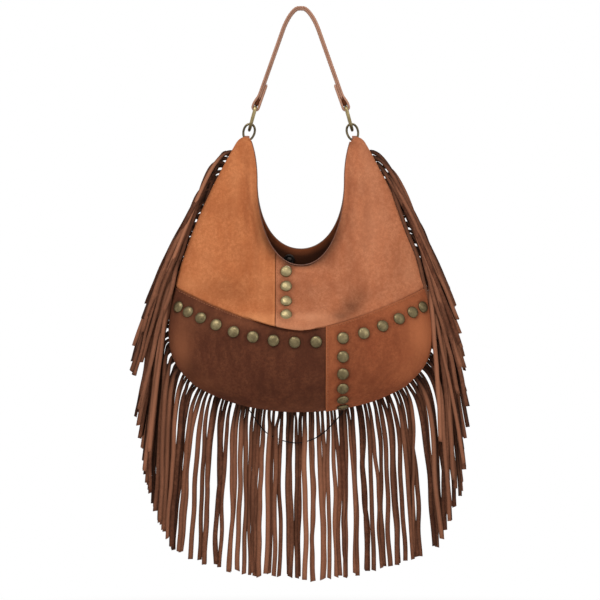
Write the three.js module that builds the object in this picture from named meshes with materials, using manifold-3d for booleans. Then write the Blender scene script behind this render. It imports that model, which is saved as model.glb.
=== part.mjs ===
// A slouchy fringed suede shoulder bag, hanging from the top bend of its strap.
// Millimetres, +Z up. The front faces -Y and the viewer's right is +X.
// The origin is on the underside of the strap's top bend, where a hook carries it.
import * as THREE from "three";
import { mergeVertices } from "three/addons/utils/BufferGeometryUtils.js";
import Module from "manifold-3d";

const wasm = await Module();
wasm.setup();

const { degToRad, lerp, clamp } = THREE.MathUtils;
const RIGHT = 1;
const LEFT = -1;

// Driving dimensions of the strap, one strip folded back through a link at each end
const strapWidth = 18;
const strapThickness = 4.6;
const strapRestLength = 5;
const strapBendHalfWidth = 18.8;
const strapBendHeight = 25.9;
const strapBendTopPull = 0.3;
const strapBendSidePull = 0.56;
const strapLegLength = 98.3;
const strapLegLean = degToRad(19.5);
const strapEndPly = 2.8;
const strapTailLength = 30;
const strapBulgeLength = 20;
const strapSplitLength = 14;

// Driving dimensions of the cast links and the wire rings
const linkThickness = 4;
const linkInnerWidth = 20;
const linkInnerLength = 20.8;
const linkSideWidth = 4;
const linkFootDepth = 7.7;
const linkEdgeRound = 1.6;
const linkCornerRound = 7;
const linkEyeCornerRound = 0.9;
const linkFootStart = 0.42;
const linkFootPull = 0.6;
const linkFootFullness = 0.5;
const linkLean = degToRad(15.5);
const ringWire = 2.8;
const ringWidth = 16.1;
const ringPitchLength = 20.2;
const ringEgg = 0.1;
const ringLean = degToRad(14);
const ringSwingInTab = degToRad(20);

// Driving dimensions of the leather tabs that hold the rings in the two peaks
const tabWidth = 6.4;
const tabThickness = 5.8;
const tabCrown = 5.6;
const tabTuck = 12;

// Driving dimensions of the pouch
const pouchWidth = 317.6;
const pouchDepth = 120;
const pouchUpperHeight = 232.5;
const pouchLowerHeight = 96.6;
const peakRise = 3.7;
const peakReach = 9;
const peakDepth = 14;
const mouthDepth = 46;
const panelLeather = 2.4;
const sideCurve = 1.62;
const bottomCurve = 2.5;
const bellyCurve = 2.4;
const bellyFoot = 2.6;
const swellStart = 0.93;
const fullestShare = 1.06;
const peakFade = 18;

// Driving dimensions of the mouth, a U that the back panel crosses higher than the front
const mouthPeakInset = 3.5;
const mouthNeckWidth = 105;
const mouthNeckDrop = 52.5;
const mouthBackAboveWidest = 98.7;
const mouthBackDrop = pouchUpperHeight - mouthBackAboveWidest;
const mouthFrontAboveWidest = 78.8;
const mouthFrontDrop = pouchUpperHeight - mouthFrontAboveWidest;
const mouthPeakPull = 0.4;
const mouthSidePull = 0.58;
const mouthFootPull = 0.6;
const facingWidth = 22;
const facingLeather = 1.5;
const liningCloth = 0.8;
const liningTopDrop = 19;
const snapRadius = 6.8;
const snapHeight = 2.6;
const snapNubRadius = 3;
const snapNubHeight = 1.6;
const snapX = -14;
const snapDropBelowEdge = 13;

// Driving dimensions of the patchwork: a lower band and one upright seam in each half
const bandTopAboveWidest = 1;
const bandTopDrop = pouchUpperHeight - bandTopAboveWidest;
const bandTopRise = 55.6;
const bandCurve = 1.5;
const upperSeamX = -30;
const lowerSeamX = 31;

// Driving dimensions of the domed studs
const studRadius = 7.2;
const studHeight = 4.3;
const studRimHeight = 0.6;
const studBackInset = 0.4;
const studRowDrop = { middle: 13.8, side: 21.2, reachedAt: 75 };
const studLeftRow = { count: 9, startTurn: 6.65, turnStep: 9.25 };
const studRightRow = { count: 6, startTurn: 18.5, turnStep: 9.8 };
const studRightColumn = { count: 5, turnStep: 15.4 };
const studUpperColumn = { count: 4, setback: 12.5, fromMouth: 7.2, fromBand: 16 };

// Driving dimensions of the fringe, a sewn-in band with long strips below it
const fringeLeather = 1.6;
const fringeStripPitch = 5;
const fringeSlit = 0.8;
const fringeLength = 200;
const fringeSidePile = 5;
const fringeTopDrop = 15.5;
const fringeCornerAboveFoot = 40.1;
const fringeCornerDrop = pouchUpperHeight + pouchLowerHeight - fringeCornerAboveFoot;
const fringeCornerGap = 5;
const fringeBandTuck = 2;
const fringeBandBelowSeam = 4;
const fringePileStandoff = 1.8;
const fringeFan = 1.12;
const fringeUneven = 3;
const fringeCutSlant = 0.6;
const fringeSideStrips = 12;
const fringeSideOverhang = 42.2;
const fringeSideReach = pouchWidth / 2 + fringeSideOverhang;
const fringeSideFirstEndBelowWidest = 174.5;
const fringeSideFirstEndDrop = pouchUpperHeight + fringeSideFirstEndBelowWidest;
const fringeSideUneven = 4;
const fringeSideEndCurve = 1.4;
const fringeSideRootDrop = 10;
const fringeSideRootGap = 1.3;
const fringeSideEndGap = 2.3;
const fringeSideExtraLength = 5;
const fringeSideWidestShare = 1.04;

// Clearances
const seamGap = 0.3;
const runningGap = 0.35;
const seatGap = 0.35;
const cutOverrun = 5;

// The cord's route behind the bottom fringe, chosen by hand
const cordDiameter = 1.2;
const cordRoute = [
  [-64.2, 1.9, -476.6],
  [-58.5, 3.4, -484.5],
  [-51.0, 4.6, -495.5],
  [-43.8, 4.6, -504.6],
  [-35.6, 4.6, -510.6],
  [-21.0, 4.6, -516.6],
  [-4.2, 4.6, -519.4],
  [12.6, 4.6, -515.6],
  [26.8, 4.6, -507.6],
  [39.6, 4.6, -495.0],
  [46.5, 3.4, -487.0],
  [51.5, 1.9, -480.2],
];

const colours = {
  tanLeft: "#c8784a",
  tanRight: "#bd7a56",
  brownLeft: "#683828",
  brownRight: "#8c4c32",
  backSuede: "#8a5238",
  fringe: "#7a4c38",
  strap: "#9a6a54",
  lining: "#3b2a22",
  facing: "#6d4330",
  brass: "#94845c",
  darkBrass: "#5e5440",
  cord: "#1c1a1a",
};

// A point on the line that a hanging piece follows, in the XZ plane of the right side
function alongLean(start, lean, distance) {
  return new THREE.Vector2(
    start.x + Math.sin(lean) * distance,
    start.y - Math.cos(lean) * distance,
  );
}

// The chain of hanging points on the right side, from the strap down to the ring's foot
const legTop = new THREE.Vector2(
  strapRestLength / 2 + strapBendHalfWidth,
  strapThickness / 2 - strapBendHeight,
);
const linkBar = alongLean(legTop, strapLegLean, strapLegLength);
const linkSeat = linkThickness / 2 + linkInnerLength;
const ringTop = alongLean(linkBar, linkLean, linkSeat - runningGap - ringWire / 2);
const ringFoot = alongLean(ringTop, ringLean, ringPitchLength);

// Heights of the pouch
const peakZ = ringFoot.y + peakRise;
const pouchHeight = pouchUpperHeight + pouchLowerHeight;
const pouchHalfWidth = pouchWidth / 2;
const pouchHalfDepth = pouchDepth / 2;
const peakHalfWidth = ringFoot.x + peakReach;
const frontFaceY = fringeLeather / 2 + seamGap;
const outsideY = pouchDepth;

// Half the width of the pouch at a drop below the peaks, for a surface inset into it
function halfWidth(drop, inset = 0) {
  if (drop > pouchUpperHeight) {
    const sunk = (drop - pouchUpperHeight) / (pouchLowerHeight - inset);
    return (pouchHalfWidth - inset) * Math.sqrt(Math.max(0, 1 - sunk ** bottomCurve));
  }
  const left = 1 - clamp(drop / pouchUpperHeight, 0, 1);
  return lerp(pouchHalfWidth, peakHalfWidth, left ** sideCurve) - inset;
}

// Half the depth: slim from the peaks to the mouth, then swelling out to the full belly
const fullestDrop = pouchUpperHeight * fullestShare;
function halfDepth(drop, inset = 0) {
  if (drop > fullestDrop) {
    const sunk = (drop - fullestDrop) / (pouchHeight - fullestDrop - inset);
    return (pouchHalfDepth - inset) * Math.max(0, 1 - sunk ** bellyCurve) ** (1 / bellyFoot);
  }
  const toMouth = clamp(drop / mouthFrontDrop, 0, 1);
  const swellFrom = mouthFrontDrop * swellStart;
  const toBelly = clamp((drop - swellFrom) / (fullestDrop - swellFrom), 0, 1);
  const slim = lerp(peakDepth / 2, mouthDepth / 2, toMouth);
  return lerp(slim, pouchHalfDepth, (1 - Math.cos(Math.PI * toBelly)) / 2) - inset;
}

// How square the level section is: nearly a slab in the peaks, a soft lens below them
const squareness = (drop) => Math.exp(-Math.max(drop, 0) / peakFade);
const widthPower = (drop) => 2.4 + 9.6 * squareness(drop);
const depthPower = (drop) => 2 + squareness(drop);

// Depth of the pouch's surface in front of, or behind, its middle plane at x and z
function surfaceDepth(x, z, inset = 0) {
  const drop = peakZ - z;
  const across = Math.min(1, Math.abs(x) / halfWidth(drop, inset));
  return halfDepth(drop, inset) * (1 - across ** widthPower(drop)) ** (1 / depthPower(drop));
}

// The seam's height at x along the bottom curve of the pouch
function bottomSeamZ(x) {
  const share = clamp(Math.abs(x) / pouchHalfWidth, 0, 1);
  return peakZ - pouchUpperHeight - pouchLowerHeight * (1 - share ** 2) ** (1 / bottomCurve);
}

// Solids for cutting and joining
function solidOf(geometry) {
  const bare = geometry.clone();
  bare.deleteAttribute("normal");
  bare.deleteAttribute("uv");
  const merged = mergeVertices(bare, 1e-4);
  return new wasm.Manifold(
    new wasm.Mesh({
      numProp: 3,
      vertProperties: merged.attributes.position.array,
      triVerts: new Uint32Array(merged.index.array),
    }),
  );
}

function geometryOf(solid) {
  const mesh = solid.getMesh();
  const geometry = new THREE.BufferGeometry()
    .setAttribute("position", new THREE.BufferAttribute(mesh.vertProperties, 3))
    .setIndex(new THREE.BufferAttribute(mesh.triVerts, 1))
    .toNonIndexed();
  geometry.computeVertexNormals();
  return geometry;
}

// A flat outline in X and Z, made thick in Y
function slab(outline, fromY, toY) {
  const shape = Array.isArray(outline) ? new THREE.Shape(outline) : outline;
  const geometry = new THREE.ExtrudeGeometry(shape, {
    depth: toY - fromY,
    bevelEnabled: false,
    curveSegments: 8,
  });
  return geometry.rotateX(Math.PI / 2).translate(0, toY, 0);
}

// The pouch's form as a closed loft of level sections, on the same levels at every inset
const pointsRound = 28;
const peakLevels = 2;
const upperLevels = 9;
const lowerLevels = 6;
function pouchLoft(inset, topDrop = 0) {
  const drops = [topDrop];
  for (let i = 0; i < peakLevels; i++) {
    drops.push((i / peakLevels) * liningTopDrop);
  }
  for (let i = 0; i <= upperLevels; i++) {
    drops.push(lerp(liningTopDrop, pouchUpperHeight, i / upperLevels));
  }
  const first = drops.findIndex((drop, i) => i > 0 && drop > topDrop);
  drops.splice(1, first - 1);
  for (let i = 1; i <= lowerLevels; i++) {
    const sunk = 0.998 * Math.sin((i / lowerLevels) * (Math.PI / 2));
    drops.push(pouchUpperHeight + (pouchLowerHeight - inset) * sunk);
  }
  const positions = [];
  for (const drop of drops) {
    const width = halfWidth(drop, inset);
    const depth = halfDepth(drop, inset);
    for (let k = 0; k < pointsRound; k++) {
      const turn = (k / pointsRound) * Math.PI * 2;
      const c = Math.cos(turn);
      const s = Math.sin(turn);
      positions.push(
        width * Math.sign(c) * Math.abs(c) ** (2 / widthPower(drop)),
        depth * Math.sign(s) * Math.abs(s) ** (2 / depthPower(drop)),
        peakZ - drop,
      );
    }
  }
  const top = positions.length / 3;
  positions.push(0, 0, peakZ - drops[0], 0, 0, peakZ - drops.at(-1));
  const index = [];
  const last = (drops.length - 1) * pointsRound;
  for (let k = 0; k < pointsRound; k++) {
    const next = (k + 1) % pointsRound;
    index.push(top, k, next, top + 1, last + next, last + k);
    for (let ring = 0; ring < last; ring += pointsRound) {
      const a = ring + k;
      const b = ring + next;
      index.push(a, a + pointsRound, b, b, a + pointsRound, b + pointsRound);
    }
  }
  return new THREE.BufferGeometry()
    .setAttribute("position", new THREE.Float32BufferAttribute(positions, 3))
    .setIndex(index);
}

// The leather between two insets of the pouch's form, open at the top
function pouchShell(outerInset, innerInset, topDrop = 0) {
  const hollow = solidOf(pouchLoft(innerInset, topDrop - 1));
  return solidOf(pouchLoft(outerInset, topDrop)).subtract(hollow);
}

// The U of the mouth down to a drop, grown sideways and downwards by a margin
function mouthShape(drop, margin = 0) {
  const peakHalf = ringFoot.x - mouthPeakInset + margin;
  const neckHalf = mouthNeckWidth / 2 + margin;
  const neckZ = peakZ - mouthNeckDrop;
  const footZ = peakZ - drop - margin;
  const bellyZ = lerp(neckZ, footZ, mouthSidePull);
  const footHalf = neckHalf * mouthFootPull;
  const upperZ = lerp(peakZ, neckZ, mouthPeakPull);
  const shape = new THREE.Shape();
  shape.moveTo(-peakHalf, peakZ + cutOverrun);
  shape.lineTo(-peakHalf, peakZ);
  shape.quadraticCurveTo(-neckHalf, upperZ, -neckHalf, neckZ);
  shape.bezierCurveTo(-neckHalf, bellyZ, -footHalf, footZ, 0, footZ);
  shape.bezierCurveTo(footHalf, footZ, neckHalf, bellyZ, neckHalf, neckZ);
  shape.quadraticCurveTo(neckHalf, upperZ, peakHalf, peakZ);
  shape.lineTo(peakHalf, peakZ + cutOverrun);
  return shape;
}

const frontCut = (shape) => solidOf(slab(shape, -outsideY, -frontFaceY));
const backCut = (shape) => solidOf(slab(shape, frontFaceY, outsideY));

// The height of the lower band's top edge at x
const bandTopZ = (x) =>
  peakZ - bandTopDrop + bandTopRise * (Math.abs(x) / pouchHalfWidth) ** bandCurve;

// The band's top edge from left to right, shifted up or down by half a seam gap
function bandEdge(fromX, toX, shift) {
  const step = 10;
  const xs = [fromX];
  for (let x = (Math.floor(fromX / step) + 1) * step; x < toX; x += step) {
    xs.push(x);
  }
  xs.push(toX);
  return xs.map((x) => new THREE.Vector2(x, bandTopZ(x) + shift));
}

// Outlines of the four front panels, each between its seams
const sideX = pouchHalfWidth + cutOverrun;
const topZ = peakZ + cutOverrun;
const footZ = peakZ - pouchHeight - cutOverrun;
function upperPanelOutline(fromX, toX) {
  const edge = bandEdge(fromX, toX, seamGap / 2);
  return [...edge, new THREE.Vector2(toX, topZ), new THREE.Vector2(fromX, topZ)];
}

function lowerPanelOutline(fromX, toX) {
  const edge = bandEdge(fromX, toX, -seamGap / 2).reverse();
  return [...edge, new THREE.Vector2(fromX, footZ), new THREE.Vector2(toX, footZ)];
}

const leatherShell = pouchShell(0, panelLeather);
const frontMouth = frontCut(mouthShape(mouthFrontDrop));
const backMouth = backCut(mouthShape(mouthBackDrop));

function frontPanel(outline) {
  return geometryOf(leatherShell.intersect(frontCut(outline)).subtract(frontMouth));
}

function backPanel() {
  const behind = [
    new THREE.Vector2(-sideX, footZ),
    new THREE.Vector2(sideX, footZ),
    new THREE.Vector2(sideX, topZ),
    new THREE.Vector2(-sideX, topZ),
  ];
  return geometryOf(leatherShell.intersect(backCut(behind)).subtract(backMouth));
}

// The leather facings inside the mouth, and the cloth lining that starts at their lower edge
const innerFaceInset = panelLeather + seamGap;
const facingShell = pouchShell(innerFaceInset, innerFaceInset + facingLeather, liningTopDrop);
function mouthFacing(cut, drop) {
  const reach = cut(mouthShape(drop, facingWidth));
  const opening = cut(mouthShape(drop));
  return geometryOf(facingShell.intersect(reach).subtract(opening));
}

function lining() {
  const shell = pouchShell(innerFaceInset, innerFaceInset + liningCloth, liningTopDrop);
  const margin = facingWidth + seamGap;
  const front = solidOf(slab(mouthShape(mouthFrontDrop, margin), -outsideY, 0));
  const back = solidOf(slab(mouthShape(mouthBackDrop, margin), -seamGap, outsideY));
  return geometryOf(shell.subtract(front).subtract(back));
}

// The strap's edge outline for the right half, from the middle of the top bend downwards
function strapEndPoint(up, out) {
  return new THREE.Vector2(
    linkBar.x - Math.sin(strapLegLean) * up + Math.cos(strapLegLean) * out,
    linkBar.y + Math.cos(strapLegLean) * up + Math.sin(strapLegLean) * out,
  );
}

function strapBend(offset) {
  const half = strapThickness / 2;
  const slope = alongLean(legTop, strapLegLean, -strapBendSidePull * strapBendHeight);
  const topPull = strapBendTopPull * strapBendHalfWidth;
  const bend = new THREE.CubicBezierCurve(
    new THREE.Vector2(strapRestLength / 2, half),
    new THREE.Vector2(strapRestLength / 2 + topPull, half),
    slope,
    legTop,
  );
  const steps = 9;
  const points = [];
  for (let i = 0; i <= steps; i++) {
    const at = bend.getPoint(i / steps);
    const way = bend.getTangent(i / steps);
    points.push(new THREE.Vector2(at.x - way.y * offset, at.y + way.x * offset));
  }
  return points;
}

const foldBore = linkThickness / 2 + runningGap;
function foldArc(radius, fromTurn, toTurn) {
  const steps = 8;
  const points = [];
  for (let i = 0; i <= steps; i++) {
    const turn = lerp(fromTurn, toTurn, i / steps);
    points.push(strapEndPoint(-radius * Math.sin(turn), radius * Math.cos(turn)));
  }
  return points;
}

// Points of a soft S between two places at the strap's end
function strapSweep(from, to, ease, steps) {
  const points = [];
  for (let i = 1; i < steps; i++) {
    const share = i / steps;
    const out = lerp(from[1], to[1], THREE.MathUtils.smoothstep(share, 0, ease));
    points.push(strapEndPoint(lerp(from[0], to[0], share), out));
  }
  return points;
}

function strapHalfOutline() {
  const half = strapThickness / 2;
  const foldRadius = foldBore + strapEndPly;
  const tailOut = -half - strapEndPly;
  return [
    ...strapBend(half),
    strapEndPoint(strapBulgeLength, half),
    ...strapSweep([strapBulgeLength, half], [0, foldRadius], 0.9, 6),
    ...foldArc(foldRadius, 0, Math.PI),
    strapEndPoint(strapTailLength, tailOut),
    strapEndPoint(strapTailLength + 2 * strapEndPly, -half),
    ...strapBend(-half).reverse(),
  ];
}

function strapHole() {
  const half = strapThickness / 2;
  return [
    ...foldArc(foldBore, 0, Math.PI),
    strapEndPoint(strapSplitLength, -half),
    ...strapSweep([strapSplitLength, -half], [0, foldBore], 1, 6),
  ];
}

const mirrored = (points) => points.map((p) => new THREE.Vector2(-p.x, p.y)).reverse();

function strapGeometry() {
  const right = strapHalfOutline();
  const shape = new THREE.Shape([...right, ...mirrored(right)].reverse());
  for (const hole of [strapHole(), mirrored(strapHole())]) {
    shape.holes.push(new THREE.Path(hole));
  }
  return slab(shape, -strapWidth / 2, strapWidth / 2);
}

// A cast link: a straight bar for the strap above, a deep rounded foot for the ring below
function linkOutline(path, halfSpan, topUp, footUp, corner) {
  const sideUp = -linkFootStart * linkInnerLength;
  const pullUp = lerp(sideUp, footUp, linkFootPull);
  const footHalf = halfSpan * linkFootFullness;
  path.moveTo(-halfSpan + corner, topUp);
  path.quadraticCurveTo(-halfSpan, topUp, -halfSpan, topUp - corner);
  path.lineTo(-halfSpan, sideUp);
  path.bezierCurveTo(-halfSpan, pullUp, -footHalf, footUp, 0, footUp);
  path.bezierCurveTo(footHalf, footUp, halfSpan, pullUp, halfSpan, sideUp);
  path.lineTo(halfSpan, topUp - corner);
  path.quadraticCurveTo(halfSpan, topUp, halfSpan - corner, topUp);
  path.closePath();
  return path;
}

function linkGeometry(side) {
  const inner = linkInnerWidth / 2;
  const outer = inner + linkSideWidth;
  const half = linkThickness / 2;
  const footUp = -linkSeat - linkFootDepth;
  const shape = linkOutline(new THREE.Shape(), outer, half, footUp, linkCornerRound);
  const eye = linkOutline(new THREE.Path(), inner, -half, -linkSeat, linkEyeCornerRound);
  shape.holes.push(eye);
  const geometry = new THREE.ExtrudeGeometry(shape, {
    depth: linkThickness - 2 * linkEdgeRound,
    bevelThickness: linkEdgeRound,
    bevelSize: linkEdgeRound,
    bevelOffset: -linkEdgeRound,
    bevelSegments: 2,
    curveSegments: 4,
  });
  const lean = linkLean * side;
  const placed = new THREE.Matrix4().makeBasis(
    new THREE.Vector3(0, 1, 0),
    new THREE.Vector3(-Math.sin(lean), 0, Math.cos(lean)),
    new THREE.Vector3(Math.cos(lean), 0, Math.sin(lean)),
  );
  geometry.translate(0, 0, linkEdgeRound - half).applyMatrix4(placed);
  return geometry.translate(side * linkBar.x, 0, linkBar.y);
}

// A wire ring, a little wider at the top than at its foot, standing in the XZ plane
class RingCurve extends THREE.Curve {
  constructor(side) {
    super();
    this.side = side;
  }

  getPoint(t, target = new THREE.Vector3()) {
    const turn = t * Math.PI * 2;
    const halfSpan = (ringWidth - ringWire) / 2;
    const out = halfSpan * Math.sin(turn) * (1 + ringEgg * Math.cos(turn));
    const down = (ringPitchLength / 2) * (1 - Math.cos(turn));
    const at = alongLean(ringTop, ringLean, down);
    return target.set(
      this.side * (at.x + Math.cos(ringLean) * out),
      0,
      at.y + Math.sin(ringLean) * out,
    );
  }
}

function ringGeometry(side, wire, stepsRound) {
  return new THREE.TubeGeometry(new RingCurve(side), stepsRound, wire / 2, 8, true);
}

// A leather tab, crowned above the ring's foot, with the ring's bore swept through its swing
function tabGeometry(side) {
  const half = tabThickness / 2;
  const crownUp = ringFoot.y + tabCrown;
  const outline = new THREE.Shape();
  outline.moveTo(-half, ringFoot.y - tabTuck);
  outline.lineTo(half, ringFoot.y - tabTuck);
  outline.lineTo(half, crownUp - half);
  outline.absarc(0, crownUp - half, half, 0, Math.PI, false);
  const block = new THREE.ExtrudeGeometry(outline, {
    depth: tabWidth,
    bevelEnabled: false,
    curveSegments: 8,
  });
  const upright = new THREE.Matrix4().makeBasis(
    new THREE.Vector3(0, 1, 0),
    new THREE.Vector3(0, 0, 1),
    new THREE.Vector3(1, 0, 0),
  );
  block.applyMatrix4(upright).translate(side * ringFoot.x - tabWidth / 2, 0, 0);
  let tab = solidOf(block);
  const swingSteps = 2;
  for (let i = 0; i <= swingSteps; i++) {
    const swing = lerp(-ringSwingInTab, ringSwingInTab, i / swingSteps);
    const bore = ringGeometry(side, ringWire + 2 * runningGap, 20)
      .translate(0, 0, -ringFoot.y)
      .rotateX(swing)
      .translate(0, 0, ringFoot.y);
    tab = tab.subtract(solidOf(bore));
  }
  return geometryOf(tab);
}

// A place on the front surface, and the direction straight out of it there
function frontPlace(x, z, inset = 0) {
  const reach = 0.5;
  const depthAt = (atX, atZ) => surfaceDepth(atX, atZ, inset);
  const slopeX = (depthAt(x + reach, z) - depthAt(x - reach, z)) / (2 * reach);
  const slopeZ = (depthAt(x, z + reach) - depthAt(x, z - reach)) / (2 * reach);
  return {
    point: new THREE.Vector3(x, -depthAt(x, z), z),
    outward: new THREE.Vector3(-slopeX, -1, -slopeZ).normalize(),
  };
}

// The faceted front skin at x and z, found by looking straight back at it
const skin = new THREE.Mesh(pouchLoft(0), new THREE.MeshBasicMaterial());
const sight = new THREE.Raycaster();
function skinPoint(x, z) {
  sight.set(new THREE.Vector3(x, -outsideY, z), new THREE.Vector3(0, 1, 0));
  const hit = sight.intersectObject(skin)[0];
  return hit ? hit.point : new THREE.Vector3(x, -surfaceDepth(x, z), z);
}

// How far the skin under a round seat rises above a plane through the seat's middle
function riseUnder(place, radius) {
  const across = new THREE.Vector3(0, 0, 1).cross(place.outward).normalize();
  const up = place.outward.clone().cross(across);
  const samples = 12;
  let rise = -radius;
  for (const reach of [0, radius / 2, radius]) {
    for (let i = 0; i < samples; i++) {
      const turn = (i / samples) * Math.PI * 2;
      const under = place.point
        .clone()
        .addScaledVector(across, reach * Math.cos(turn))
        .addScaledVector(up, reach * Math.sin(turn));
      const high = skinPoint(under.x, under.z).sub(place.point).dot(place.outward);
      rise = Math.max(rise, high);
    }
  }
  return rise;
}

const sinOfTurn = (degrees) => Math.sin(degToRad(degrees));

function studRowZ(x) {
  const outwards = Math.min(1, Math.abs(x) / studRowDrop.reachedAt);
  return bandTopZ(x) - lerp(studRowDrop.middle, studRowDrop.side, outwards);
}

// A row steps round the belly in equal turns, so its studs draw together towards the side
function studRow({ count, startTurn, turnStep }, side) {
  return Array.from({ length: count }, (_, n) => {
    const x = pouchHalfWidth * sinOfTurn(startTurn + side * n * turnStep);
    return frontPlace(x, studRowZ(x));
  });
}

// The column below a row's first stud steps round under the belly in the same way
function studColumn({ count, turnStep }, x) {
  const top = studRowZ(x);
  const height = top - bottomSeamZ(x);
  return Array.from({ length: count }, (_, n) =>
    frontPlace(x, top - height * sinOfTurn((n + 1) * turnStep)),
  );
}

function studUpperPlaces({ count, setback, fromMouth, fromBand }) {
  const x = upperSeamX + setback;
  const top = peakZ - mouthFrontDrop - fromMouth;
  const foot = bandTopZ(x) + fromBand;
  return Array.from({ length: count }, (_, n) => frontPlace(x, lerp(top, foot, n / (count - 1))));
}

function studPlaces() {
  return {
    left_row: studRow(studLeftRow, LEFT),
    right_row: studRow(studRightRow, RIGHT),
    right_column: studColumn(studRightColumn, pouchHalfWidth * sinOfTurn(studRightRow.startTurn)),
    upper_column: studUpperPlaces(studUpperColumn),
  };
}

// A domed stud head on a flat back, turned about +Y
function studGeometry() {
  const profile = [
    new THREE.Vector2(0, 0),
    new THREE.Vector2(studRadius - studBackInset, 0),
    new THREE.Vector2(studRadius, studRimHeight),
  ];
  const arcSteps = 3;
  for (let i = 1; i <= arcSteps; i++) {
    const turn = (i / arcSteps) * (Math.PI / 2);
    profile.push(
      new THREE.Vector2(
        i === arcSteps ? 0 : studRadius * Math.cos(turn),
        lerp(studRimHeight, studHeight, Math.sin(turn)),
      ),
    );
  }
  return new THREE.LatheGeometry(profile, 10);
}

// One half of the magnetic snap: a disc, with a nub on the half that faces it
function snapGeometry(hasNub) {
  const nub = [
    new THREE.Vector2(snapNubRadius, snapHeight),
    new THREE.Vector2(snapNubRadius, snapHeight + snapNubHeight),
    new THREE.Vector2(0, snapHeight + snapNubHeight),
  ];
  const socket = [
    new THREE.Vector2(snapNubRadius + runningGap, snapHeight),
    new THREE.Vector2(snapNubRadius + runningGap, snapHeight / 2),
    new THREE.Vector2(0, snapHeight / 2),
  ];
  return new THREE.LatheGeometry(
    [
      new THREE.Vector2(0, 0),
      new THREE.Vector2(snapRadius, 0),
      new THREE.Vector2(snapRadius, 0.7 * snapHeight),
      new THREE.Vector2(snapRadius - 0.3 * snapHeight, snapHeight),
      ...(hasNub ? nub : socket),
    ],
    14,
  );
}

// A strip's four corners between its root and its cut end, from left to right
function stripCorners(root, end, halfStrip) {
  return [
    new THREE.Vector2(root.x - halfStrip, root.y),
    new THREE.Vector2(end.x - halfStrip, end.y - fringeCutSlant * halfStrip),
    new THREE.Vector2(end.x + halfStrip, end.y + fringeCutSlant * halfStrip),
    new THREE.Vector2(root.x + halfStrip, root.y),
  ];
}

// The bottom fringe: a comb of strips under a band sewn into the curved bottom seam
const fringeCornerX = halfWidth(fringeCornerDrop);
function bottomFringe() {
  const count = Math.round((2 * fringeCornerX) / fringeStripPitch);
  const pitch = (2 * fringeCornerX) / count;
  const halfStrip = (pitch - fringeSlit) / 2;
  const outline = [];
  for (let i = 0; i < count; i++) {
    const x = -fringeCornerX + pitch * (i + 0.5);
    const seamZ = bottomSeamZ(x);
    const uneven = fringeUneven * Math.sin(i * 2.4);
    const root = new THREE.Vector2(x, seamZ - fringeBandBelowSeam);
    const end = new THREE.Vector2(x * fringeFan, seamZ - fringeLength + uneven);
    outline.push(...stripCorners(root, end, halfStrip));
  }
  const steps = 24;
  for (let i = 0; i <= steps; i++) {
    const x = lerp(fringeCornerX, -fringeCornerX, i / steps) * 0.995;
    outline.push(new THREE.Vector2(x, bottomSeamZ(x) + fringeBandTuck));
  }
  return slab(outline, -fringeLeather / 2, fringeLeather / 2);
}

// How far the side fringe arches out from the seam, at shares of the way down it
const sideReachCurve = new THREE.CatmullRomCurve3([
  new THREE.Vector3(2, 0, 0),
  new THREE.Vector3(13, 0.1, 0),
  new THREE.Vector3(19, 0.25, 0),
  new THREE.Vector3(25, 0.64, 0),
  new THREE.Vector3(33, 0.86, 0),
  new THREE.Vector3(43, 1, 0),
]);

// The side fringe: a thin band in the seam, and the pile of strips that falls outside it
function sideFringe(side) {
  const steps = 18;
  const seam = [];
  const envelope = [];
  for (let i = 0; i <= steps; i++) {
    const drop = lerp(fringeTopDrop, fringeCornerDrop - fringeCornerGap, i / steps);
    seam.push(new THREE.Vector2(halfWidth(drop), peakZ - drop));
  }
  const widestDrop = pouchUpperHeight * fringeSideWidestShare;
  for (let i = 0; i <= steps; i++) {
    const reach = sideReachCurve.getPoint(i / steps);
    const drop = lerp(fringeTopDrop, widestDrop, reach.y);
    envelope.push(new THREE.Vector2(halfWidth(drop) + reach.x, peakZ - drop));
  }
  const band = [
    ...seam.map((p) => new THREE.Vector2(p.x - fringeBandTuck, p.y)),
    ...seam.map((p) => new THREE.Vector2(p.x + fringeBandBelowSeam, p.y)).reverse(),
  ];
  const corner = new THREE.Vector2(fringeCornerX, peakZ - fringeCornerDrop);
  const rootZ = corner.y - fringeBandBelowSeam - fringeSideRootDrop;
  const innerRootX = corner.x + fringeSideRootGap;
  const innerEndX = corner.x * fringeFan + fringeSideEndGap;
  const outerEndZ = peakZ - fringeSideFirstEndDrop;
  const innerEndZ = corner.y - fringeLength - fringeSideExtraLength;
  const pile = seam.map((p) => new THREE.Vector2(p.x + fringePileStandoff, p.y));
  pile.push(new THREE.Vector2(innerRootX, rootZ));
  const endPitch = (fringeSideReach - innerEndX) / fringeSideStrips;
  const rootPitch = (fringeSideReach - innerRootX) / fringeSideStrips;
  for (let i = 0; i < fringeSideStrips; i++) {
    const share = (i + 0.5) / fringeSideStrips;
    const uneven = fringeSideUneven * Math.sin(i * 2.1);
    const root = new THREE.Vector2(innerRootX + rootPitch * (i + 0.5), rootZ);
    const end = new THREE.Vector2(
      innerEndX + endPitch * (i + 0.5),
      lerp(innerEndZ, outerEndZ, share ** fringeSideEndCurve) + uneven,
    );
    pile.push(...stripCorners(root, end, (endPitch - fringeSlit) / 2));
  }
  pile.push(new THREE.Vector2(fringeSideReach, rootZ));
  pile.push(...envelope.reverse());
  const place = (points) => (side === RIGHT ? points : mirrored(points));
  const thin = slab(place(band), -fringeLeather / 2, fringeLeather / 2);
  const thick = slab(place(pile), -fringeSidePile / 2, fringeSidePile / 2);
  return geometryOf(solidOf(thin).add(solidOf(thick)));
}

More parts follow.
